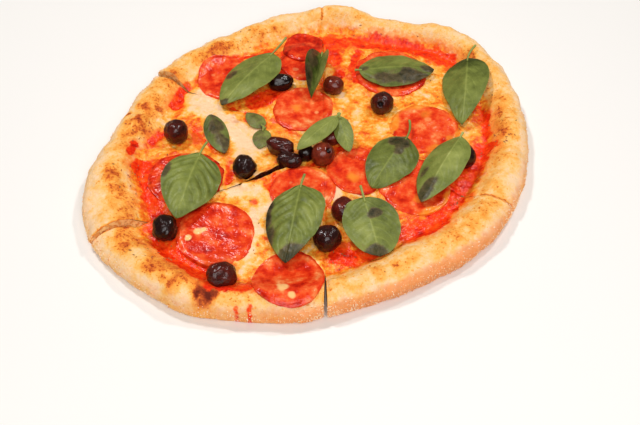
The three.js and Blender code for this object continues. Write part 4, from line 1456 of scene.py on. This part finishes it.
# %% Measures of the leaves
# Base and tip, width, length and bend of the stalk, fold of the halves in degrees, arch of the middle, how
# pointed both ends are, tone from dark to light, and droop of the tip
Leaf = namedtuple("Leaf", "base tip width stem bend fold arch ends tone droop", defaults=[0])
LEAVES = {
    "back_left": [Leaf((-31.5, 80), (-66, 30), 38, 20, 5, -8, 3, (0.5, 0.8), 0.55)],
    "back": [Leaf((5.5, 85), (-2, 37.5), 34, 3, 0, 62, 2, (0.6, 0.75), 0.5)],
    "back_middle": [Leaf((33, 68), (89, 69), 37, 3, 0, -10, 3, (0.6, 0.75), 0.5)],
    "back_right": [Leaf((114, 75), (103, 9), 33, 14, -20, -12, 4, (0.42, 0.95), 0.52)],
    "sprig_middle": [
        Leaf((16, 7.5), (-11, -22.5), 16, 3, 0, -12, 1.5, (0.6, 0.8), 0.62),
        Leaf((17.5, 7), (24, -19), 13, 3, 0, -14, 1, (0.55, 0.75), 0.56, 9),
    ],
    "left": [Leaf((-76, -21.5), (-85, -79), 38, 12, -8, -12, 4, (0.5, 0.85), 0.52)],
    "middle_right": [Leaf((63.5, -4.5), (38, -48), 34, 16, 20, -16, 4, (0.5, 0.75), 0.46)],
    "right": [Leaf((99, -10), (69, -62), 30, 3, 0, -16, 4, (0.6, 0.8), 0.58)],
    "front": [Leaf((-8, -51), (-16.5, -111), 38, 9, -6, -10, 4, (0.5, 0.85), 0.48)],
    "front_right": [Leaf((32, -64), (41, -103), 36, 9, 0, 6, 1, (0.42, 0.5), 0.54)],
    "small_left": [Leaf((-73.5, 21), (-60.5, -15), 17, 0, 0, -18, 1.5, (0.55, 0.75), 0.42)],
    "sprig_left": [
        Leaf((-35.5, 11), (-48, 26), 12, 2.5, 0, -10, 1, (0.5, 0.7), 0.52),
        Leaf((-35.5, 9), (-37, -10), 13, 2.5, 0, -10, 1, (0.5, 0.7), 0.54),
    ],
}
print("leaves:", sum(len(leaves) for leaves in LEAVES.values()), "in", len(LEAVES), "pieces")

# %% [markdown]
# ## Bruises, and painted light and shade
# Where a leaf touched hot oil it is bruised, most of all at its tip and along its edge. Its halves and folds
# catch the light differently, and that light and shade is painted into its tone. Random patches would fall
# anywhere, so the marks are listed in the leaf's own measures: along its length and across its width.

# %% Marks on the leaves
# Share of the length, place across from -1 to 1, reach in millimetres along and across, strength
BRUISES = {
    "back_left": [(0.5, -0.74, 7, 4, 0.8), (0.96, 0, 5, 5, 0.8)],
    "back": [(0.3, -0.55, 20, 8, 0.7), (0.72, -0.6, 14, 8, 0.95)],
    "back_middle": [
        (0.48, -0.55, 24, 6, 0.75), (0.66, -0.5, 16, 9, 0.95), (0.95, 0, 7, 5, 0.9), (0.08, 0.1, 4, 4, 0.6),
    ],
    "left": [(0.34, -0.9, 9, 4, 0.9)],
    "middle_right": [(0.14, -0.2, 6, 9, 1.0), (0.26, 0.05, 8, 5, 0.9)],
    "right": [(0.84, -0.1, 11, 6, 0.95), (0.62, -0.65, 7, 3, 0.7), (0.2, -0.9, 5, 2.5, 0.7)],
    "front": [(0.4, -1.0, 18, 4.5, 1.0), (0.7, -0.7, 10, 5, 0.9), (0.93, 0.1, 11, 10, 1.0)],
    "front_right": [(0.3, 0.22, 4, 5, 1.0), (0.95, -0.1, 7, 12, 0.9), (0.1, -0.9, 5, 4, 0.7)],
    "small_left": [(0.3, 0.15, 15, 6, 0.72), (0.72, 0.2, 15, 6, 0.72)],
    "sprig_left": [(0.03, 0, 3, 2, 0.9), (0.5, 0, 16, 9, 0.48)],
}

# Painted shade and painted light on parts of a leaf, mostly halves and folds that face away from the lamps
# or towards them, some of it the leaf's own patchy colour, given in the same way, with the change of tone
LEAF_LIGHT_AND_SHADE = {
    "back_left": [(0.8, 0.2, 20, 12, 0.06)],
    "back": [(0.5, -0.6, 34, 10, -0.3), (0.5, 0.6, 28, 8, 0.2)],
    "back_middle": [(0.5, 0.5, 26, 8, 0.06), (0.6, -0.6, 24, 9, -0.12)],
    "back_right": [(0.0, 0.0, 10, 26, -0.3), (0.75, 0.0, 20, 12, 0.05)],
    "front": [(0.45, -1.0, 26, 4, -0.3), (0.35, 0.5, 16, 8, 0.06)],
    "front_right": [(0.75, -0.5, 14, 9, 0.1), (0.3, 0.6, 12, 9, -0.1)],
    "left": [(0.15, 0.5, 12, 8, -0.08), (0.7, -0.2, 14, 8, 0.06)],
    "middle_right": [(0.1, -0.9, 12, 4, 0.16), (0.7, 0.2, 16, 10, 0.05)],
    "right": [(0.35, 0.3, 16, 6, 0.1), (0.5, -0.7, 10, 4, -0.1)],
    "small_left": [(0.4, 0.6, 14, 4, 0.1)],
}

print("bruises:", sum(map(len, BRUISES.values())), "and shades:", sum(map(len, LEAF_LIGHT_AND_SHADE.values())))

# %% [markdown]
# ## The plane of a leaf
# A leaf is a thin blade that folds along its midrib, arches, and tilts as it comes to rest on what lies below
# it. A rigid body simulation could drop it, but the solids already lie at rest. So the plane that a leaf came
# to rest on is found again, by fitting one through the points of its solid.

# %% Outline, fold and resting plane
# Shares of the length and of the half width inside which the points of the solid are used
FIT_FROM = 0.1
FIT_TO = 0.97
FIT_ACROSS = 1.05


def blade_share(along, ends):
    """Share of the full width at each share of the length."""
    at_start, at_tip = ends
    widest = at_start / (at_start + at_tip)
    return (along / widest) ** at_start * ((1 - along) / (1 - widest)) ** at_tip


def leaf_axes(leaf):
    """Start of a leaf, the ways along and across it, and its length."""
    start = np.array(leaf.base)
    axis = np.array(leaf.tip) - start
    length = np.hypot(*axis)
    axis = axis / length
    return start, axis, np.array([-axis[1], axis[0]]), length


def leaf_rise(leaf, along, half, across):
    """Height of the blade above its own plane: the halves fold, the middle arches and the tip may droop."""
    fold = half * np.abs(across) * np.sin(np.radians(leaf.fold))
    return fold + leaf.arch * np.sin(np.pi * along) - leaf.droop * along


def resting_plane(name, leaves):
    """Slopes and height of the plane that the leaf's solid came to rest on."""
    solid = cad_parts[f"basil_{name}"].data
    points = np.array([corner.co for corner in solid.vertices]) / MM
    rows, heights = [], []
    for leaf in leaves:
        start, axis, side, length = leaf_axes(leaf)
        along = (points[:, :2] - start) @ axis / length
        half = leaf.width / 2 * blade_share(np.clip(along, FIT_FROM, FIT_TO), leaf.ends)
        across = (points[:, :2] - start) @ side / (half * np.cos(np.radians(leaf.fold)))
        inside = (along > FIT_FROM) & (along < FIT_TO) & (np.abs(across) < FIT_ACROSS)
        rise = leaf_rise(leaf, along, half, across)
        rows.append(with_height(points[inside, :2], 1.0))
        heights.append((points[:, 2] - rise)[inside])
    plane, *_ = np.linalg.lstsq(np.concatenate(rows), np.concatenate(heights), rcond=None)
    return plane


PLANES = {name: resting_plane(name, leaves) for name, leaves in LEAVES.items()}
for name, plane in PLANES.items():
    print("leaf", name, "rests on slopes", np.round(plane[:2], 2).tolist())

# %% [markdown]
# ## Veins and quilting
# Side veins leave the midrib in turn, left and right, and curve towards the tip, and the skin between them is
# puffed up like a quilt. A striped texture could draw them, but a vein is also a groove. So one function
# gives the closeness to a vein and the height of the quilt, and colour and shape both use it. In the colour
# the puffed skin is painted lighter, as light that it catches.

# %% Veins and marks of a blade
VEIN_SPACING = 0.15
VEIN_SLANT = 0.34


def veins_at(along, across, length, wander):
    """How close each point is to a vein, and how far the skin is puffed up between veins."""
    side_shift = np.where(across > 0, 0.5, 0.0)
    phase = (along - VEIN_SLANT * np.abs(across) ** 1.5) / VEIN_SPACING + side_shift + wander
    from_vein = np.abs(phase - np.round(phase)) * VEIN_SPACING * length
    side_veins = (1 - smooth(from_vein, 0.1, 0.8)) * (1 - smooth(np.abs(across), 0.5, 0.9))
    midrib = 1 - smooth(np.abs(across), 0.015, 0.06)
    between = smooth(np.abs(across), 0.0, 0.3) * (1 - smooth(np.abs(across), 0.7, 1))
    return np.maximum(0.5 * side_veins, midrib), np.sin(np.pi * phase) ** 2 * between


def marks_at(marks, leaf, along, across, half, length, wander):
    """For each mark on a leaf: its strength, and how deep each point lies in it from 0 to 1."""
    for at_along, at_across, long_reach, cross_reach, strength in marks:
        ahead = (along - at_along) * length / long_reach
        aside = (across * half - at_across * leaf.width / 2) / cross_reach
        yield strength, 1 - smooth(np.hypot(ahead, aside) + wander, 0.4, 1.3)


vein, _ = veins_at(np.array([0.5]), np.array([0.0]), 60, 0)
print("on the midrib the vein is", float(vein[0]))

# %% [markdown]
# ## Blade and stalk
# The blade is a grid from base to tip and from edge to edge, with an upper and a lower skin. A single sheet
# with a Solidify modifier would do too, but the export wants closed meshes, and both skins take few lines
# here. Waves at the edge, the quilt and the veins are heights above the leaf's plane.

# %% Upper skin of a blade
# Leaves whose skin is puffed up more than the others', in millimetres
QUILTED = {"front": 1.2, "left": 1.0, "sprig_middle": 0.6}
USUAL_QUILT = 0.3
LEAF_ROWS = 72
LEAF_COLUMNS = 44
STEM_RADIUS = 0.85
TIP_RADIUS = 0.15
FULL_WIDTH = 38
EDGE_WAVES = 1.9
SMALL_WAVES = 0.4
RAGGED_EDGE = 0.04


def leaf_points(name, order, leaf, plane):
    start, axis, side, length = leaf_axes(leaf)
    along = (1 - np.cos(np.linspace(0, np.pi, LEAF_ROWS + 1))) / 2
    along, across = np.meshgrid(along, np.linspace(-1, 1, LEAF_COLUMNS + 1), indexing="ij")
    least = np.where(along < 0.5, STEM_RADIUS, TIP_RADIUS)
    half = np.maximum(leaf.width / 2 * blade_share(along, leaf.ends), least)
    own_seed = 60.0 * order + 7.0 * len(name)
    seeded = with_height(np.stack([along * length, across * half], axis=-1), own_seed)
    border = with_height(np.stack([along * length, 30 * np.sign(across)], axis=-1), own_seed)
    ragged = 1 + RAGGED_EDGE * cloud(border, 9, 71) * np.abs(across)
    place = start + axis * (along * length)[..., None]
    place = place + side * (half * across * ragged * np.cos(np.radians(leaf.fold)))[..., None]
    vein, quilt = veins_at(along, across, length, 0.8 * cloud(seeded, 24, 73))
    size = leaf.width / FULL_WIDTH
    ribbed = QUILTED.get(name, USUAL_QUILT)
    waves = EDGE_WAVES * cloud(seeded, 17, 72) * np.abs(across) + SMALL_WAVES * cloud(seeded, 6, 74)
    puffed = quilt * np.clip(0.5 + 1.2 * cloud(seeded, 22, 76), 0, 1)
    rise = leaf_rise(leaf, along, half, across) + size * (ribbed * (puffed - 0.5 * vein) + waves)
    points = with_height(place, place @ plane[:2] + plane[2] + rise)
    bruise = np.zeros(along.shape)
    # Painted light: the puffed skin between the veins is lighter, as light that it catches; the tone also
    # rises a little at the very edge
    tone = leaf.tone + 0.08 * smooth(np.abs(across), 0.95, 1) + 0.12 * ribbed * puffed - 0.04
    blade = (leaf, along, across, half, length, 0.4 * cloud(seeded, 7, 75))
    for strength, depth in marks_at(BRUISES.get(name, []), *blade):
        bruise = np.maximum(bruise, strength * depth)
    # Painted light and shade of halves and folds go into the tone
    for change, depth in marks_at(LEAF_LIGHT_AND_SHADE.get(name, []), *blade):
        tone = tone + change * depth
    return points, {"tone": tone, "vein": vein * (1 - bruise), "bruise": bruise}


print("points on the upper skin of each leaf:", (LEAF_ROWS + 1) * (LEAF_COLUMNS + 1))

# %% Closed blade and stalk
LEAF_THICKNESS = 0.5
STEM_SIDES = 8
STEM_ROWS = 13
STEM_OVERLAP = 2.5
STEM_LIFT = 0.2
STEM_PALER = 0.2


def tube_faces(shape):
    """Faces of a grid whose last column meets its first, with a face at either end."""
    index = grid_index(shape)
    index = np.concatenate([index, index[:, :1]], axis=1)
    return grid_faces(index) + [index[0, :-1].tolist(), index[-1, :-1].tolist()]


def leaf_mesh(name, order, leaf, plane):
    upper, masks = leaf_points(name, order, leaf, plane)
    lower = upper - [0, 0, LEAF_THICKNESS / np.cos(np.radians(leaf.fold))]
    around = np.concatenate([upper, lower[:, ::-1]], axis=1)
    values = {mask: np.concatenate([value, value[:, ::-1]], axis=1).ravel() for mask, value in masks.items()}
    return around.reshape(-1, 3), tube_faces(around.shape), values


def stem_mesh(leaf, plane):
    """A tapered stalk that runs on from the blade's start, bending off to its end."""
    start, axis, _, _ = leaf_axes(leaf)
    share = np.linspace(0.0, 1, STEM_ROWS)
    heading = angle_of(*axis) + 180 + leaf.bend * share
    line = start + toward(heading) * (leaf.stem * share - STEM_OVERLAP * (1 - share))[:, None]
    centre = with_height(line, line @ plane[:2] + plane[2] + STEM_LIFT)
    aside = with_height(toward(heading + 90), 0.0)
    ring = toward(np.arange(STEM_SIDES) * 360 / STEM_SIDES)
    radius = STEM_RADIUS * (0.75 + 0.35 * share)
    points = centre[:, None] + aside[:, None] * (ring[:, 0] * radius[:, None])[..., None]
    points = points + np.array([0, 0, 1]) * (ring[:, 1] * radius[:, None])[..., None]
    bare = np.zeros(STEM_ROWS * STEM_SIDES)
    masks = {"tone": bare + leaf.tone + STEM_PALER, "vein": bare, "bruise": bare}
    return points.reshape(-1, 3), tube_faces(points.shape), masks


print("points on each stalk:", STEM_ROWS * STEM_SIDES)

# %% [markdown]
# ## The basil
# A leaf and its stalk are one thing, and a sprig is two leaves that share a stalk, so each becomes one piece.
# Blender can join objects, but joining arrays before there is an object keeps the masks in step.

# %% Joining and placing the leaves
def join(parts):
    """Several meshes with the same masks as one."""
    points, faces, masks = [], [], {}
    first = 0
    for part_points, part_faces, part_masks in parts:
        points.append(part_points)
        faces += [[corner + first for corner in face] for face in part_faces]
        for name, values in part_masks.items():
            masks.setdefault(name, []).append(values)
        first += len(part_points)
    return np.concatenate(points), faces, {name: np.concatenate(values) for name, values in masks.items()}


for name, leaves in LEAVES.items():
    plane = PLANES[name]
    parts = [leaf_mesh(name, order, leaf, plane) for order, leaf in enumerate(leaves)]
    parts += [stem_mesh(leaf, plane) for leaf in leaves if leaf.stem > 0]
    made = make_piece(f"basil_leaf_{name}", *join(parts), [f"basil_{name}"], "basil", [BASIL_LEAF], sharp=60)
    print(made.name, len(made.data.polygons), "faces")

# %% [markdown]
# ## Dried herb
# Flakes of dried herb were strewn over the pizza, more of them in some places. They are far too many to be
# pieces of their own, and a particle system would not be part of the mesh, so they are one joined mesh: a
# small shape with six corners, repeated with its own size, turn and tilt.

# %% Where the flakes fell
# Middle of a drift, how far it spreads and how many flakes it has
HERB_DRIFTS = [
    ((126, -4), 7, 26), ((96, -56), 4, 7), ((-116, -34), 9, 30), ((-118, 8), 8, 16), ((-96, -98), 10, 20),
    ((-50, 98), 16, 18), ((60, 92), 22, 20), ((16, -106), 8, 12), ((70, 20), 30, 26), ((-20, 0), 55, 50),
    ((-60, -100), 18, 16), ((122, 40), 12, 14),
]
LEAST_INSET = 0.3


def top_height(place):
    """Height of the pizza without its toppings."""
    names = slice_names_at(place[:, 0], place[:, 1])
    height = np.zeros(len(place))
    for piece in SLICES:
        masks = top_masks(with_height(place, 0.0), inset_of(place[:, 0], place[:, 1], piece.name))
        top, _ = cheese_skin(place, piece.name, masks)
        height = np.where(names == piece.name, top, height)
    return height


def herb_places():
    drifts = [chance.normal(middle, spread, (count, 2)) for middle, spread, count in HERB_DRIFTS]
    place = np.concatenate(drifts)
    return place[inset_of(place[:, 0], place[:, 1]) > LEAST_INSET]


print("drifts of herb:", len(HERB_DRIFTS), "with", sum(count for _, _, count in HERB_DRIFTS), "flakes")

# %% Flakes of dried herb
FLAKE_SIDES = 6
FLAKE_SHAPE = [1.5, 0.7]
FLAKE_SIZE = (0.3, 0.85)
FLAKE_LIFT = 0.15
FLAKE_THICKNESS = [0, 0, 0.25]
HERB = [(0.0, tint(146, 50, 20)), (0.5, tint(184, 86, 34)), (1.0, tint(150, 104, 44))]


def herb_mesh():
    place = herb_places()
    middle = with_height(place, top_height(place) + FLAKE_LIFT)[:, None]
    size = chance.uniform(*FLAKE_SIZE, (len(place), 1))
    heading = chance.uniform(0, 360, (len(place), 1))
    angle = np.arange(FLAKE_SIDES) * 360 / FLAKE_SIDES
    ring = toward(angle) * FLAKE_SHAPE * chance.uniform(0.6, 1.2, (len(place), FLAKE_SIDES, 1))
    ahead, aside = toward(heading), toward(heading + 90)
    flat = ring[..., :1] * ahead + ring[..., 1:] * aside
    tilt = chance.uniform(-0.3, 0.3, (len(place), 1, 2))
    border = middle + size[..., None] * with_height(flat, (flat * tilt).sum(axis=-1))
    points = np.concatenate([border, middle + FLAKE_THICKNESS, middle - FLAKE_THICKNESS], axis=1)
    upper, lower = FLAKE_SIDES, FLAKE_SIDES + 1
    sides = [(side, (side + 1) % FLAKE_SIDES) for side in range(FLAKE_SIDES)]
    flake = [(one, other, upper) for one, other in sides] + [(other, one, lower) for one, other in sides]
    first = np.arange(len(place))[:, None, None] * points.shape[1]
    tone = np.repeat(chance.uniform(0, 1, len(place)), points.shape[1])
    return points.reshape(-1, 3), (np.array(flake) + first).reshape(-1, 3).tolist(), {"tone": tone}


def herb_finish():
    finish = Finish("dried_herb")
    return finish.surface({"Base Color": finish.ramp(finish.mask("tone"), HERB), "Roughness": 0.7})


herbs = make_piece("herb_flakes", *herb_mesh(), [], "basil", [herb_finish()])
print("triangles of herb:", len(herbs.data.polygons))

# %% [markdown]
# ## Semolina
# The dough slid over semolina on its way to the oven, and grains of it stick to the lower edge. Speckled
# colour alone would look flat at the outline, so the grains are real: small uneven blocks with eight faces,
# in one joined mesh. They sit on points of the crust's own mesh, drawn by how floury each point is.

# %% Grains of semolina
GRAIN_COUNT = 3000
GRAIN_SIZE = (0.25, 0.6)
GRAIN_STRETCH = (0.7, 1.3)
GRAIN_SCATTER = 0.3
GRAIN_LOWEST = 0.02
GRAIN_CORNERS = np.array([(1, 0, 0), (0, 1, 0), (-1, 0, 0), (0, -1, 0), (0, 0, 1), (0, 0, -1)])
GRAIN_FACES = np.array([
    (0, 1, 4), (1, 2, 4), (2, 3, 4), (3, 0, 4), (1, 0, 5), (2, 1, 5), (3, 2, 5), (0, 3, 5),
])
SEMOLINA = [(0.0, tint(226, 150, 84)), (0.5, tint(255, 206, 150)), (1.0, tint(255, 234, 204))]


def grain_places():
    """Random corners of the crust meshes, most of them low on the side that faces the front."""
    every = np.concatenate([points for points, _ in CRUST_SKINS])
    floury = np.concatenate([masks["flour"] for _, masks in CRUST_SKINS])
    chosen = chance.choice(len(every), GRAIN_COUNT, replace=False, p=floury / floury.sum())
    return every[chosen]


def grain_mesh():
    place = grain_places()
    size = chance.uniform(*GRAIN_SIZE, (len(place), 1, 1))
    size = size * chance.uniform(*GRAIN_STRETCH, (len(place), 1, 3))
    scatter = chance.uniform(-GRAIN_SCATTER, GRAIN_SCATTER, (len(place), 1, 3))
    points = place[:, None] + scatter + GRAIN_CORNERS * size
    points[..., 2] = np.maximum(points[..., 2], GRAIN_LOWEST)
    first = np.arange(len(place))[:, None, None] * len(GRAIN_CORNERS)
    tone = np.repeat(chance.uniform(0, 1, len(place)), len(GRAIN_CORNERS))
    return points.reshape(-1, 3), (GRAIN_FACES + first).reshape(-1, 3).tolist(), {"tone": tone}


def grain_finish():
    finish = Finish("semolina")
    return finish.surface({"Base Color": finish.ramp(finish.mask("tone"), SEMOLINA), "Roughness": 0.8})


semolina = make_piece("semolina_grains", *grain_mesh(), [], "crust", [grain_finish()])
print("triangles of semolina:", len(semolina.data.polygons))

# %% [markdown]
# ## Floor
# The pizza lies on a plain pale floor, which lets the food's own colours show. Four corners are enough for
# it.

# %% A pale floor
FLOOR_SIZE = 6.0
FLOOR_CORNERS = np.array([(-1, -1, 0), (1, -1, 0), (1, 1, 0), (-1, 1, 0)])

floor_mesh = bpy.data.meshes.new("floor")
floor_mesh.from_pydata((FLOOR_CORNERS * FLOOR_SIZE / 2).tolist(), [], [[0, 1, 2, 3]])
floor_finish = Finish("pale_floor")
floor_mesh.materials.append(floor_finish.surface({"Base Color": tint(244, 243, 241), "Roughness": 0.8}))
add_to_scene("floor", floor_mesh)
print("the floor is", FLOOR_SIZE, "m wide")

# %% [markdown]
# ## Light
# Soft studio light shows food best. One large panel alone would leave the gloss dull, so two small panels at
# the back, left and right, draw highlights on olives and oil, and a large one at the front fills the shadows.
# A dim, warm sky does the rest.

# %% Panels and sky
# Place, size and power of the panels
PANELS = {
    "key": ((-0.42, 0.36, 1.0), 0.12, 4.9),
    "second": ((0.48, 0.42, 0.95), 0.1, 3.4),
    "fill": ((0.1, -0.75, 0.85), 0.8, 8.3),
}
SKY_COLOUR = tint(255, 232, 206)
SKY_STRENGTH = 0.17


def aim_at(thing, place, target):
    thing.location = place
    view = thing.location.copy()
    view.xyz = np.array(target) - np.array(place)
    thing.rotation_euler = view.to_track_quat("-Z", "Y").to_euler()


for name, (place, size, power) in PANELS.items():
    panel = bpy.data.lights.new(name, "AREA")
    panel.size = size
    panel.energy = power
    aim_at(add_to_scene(name, panel), place, (0, 0, 0))
    print("panel", name, "gives", power, "W")

world = bpy.data.worlds.new("sky")
bpy.context.scene.world = world
world.use_nodes = True
world.node_tree.nodes["Background"].inputs["Color"].default_value = SKY_COLOUR
world.node_tree.nodes["Background"].inputs["Strength"].default_value = SKY_STRENGTH

# %% [markdown]
# ## Camera
# The camera looks down on the pizza from half way up, so that both the rim's outside and the toppings show.
# It could be placed by hand, but an aim, a height in degrees and a distance can be read and changed one by
# one. The plain view transform keeps the colours as they were mixed.

# %% The view
CAMERA_TARGET = np.array([0.0042, -0.0593, 0.0])
CAMERA_ELEVATION = 50.05
CAMERA_DISTANCE = 0.5226
LENS = 45.0
SENSOR = 36.0

camera_data = bpy.data.cameras.new("camera")
camera_data.lens = LENS
camera_data.sensor_width = SENSOR
camera = add_to_scene("camera", camera_data)
rise = np.radians(CAMERA_ELEVATION)
back_off = CAMERA_DISTANCE * np.array([0, -np.cos(rise), np.sin(rise)])
aim_at(camera, CAMERA_TARGET + back_off, CAMERA_TARGET)
bpy.context.scene.camera = camera
bpy.context.scene.view_settings.view_transform = "Standard"
print("the camera stands at", np.round(CAMERA_TARGET + back_off, 3).tolist())

# %% [markdown]
# ## Sizes, and the end
# Dressing the solids must not make the pizza bigger.
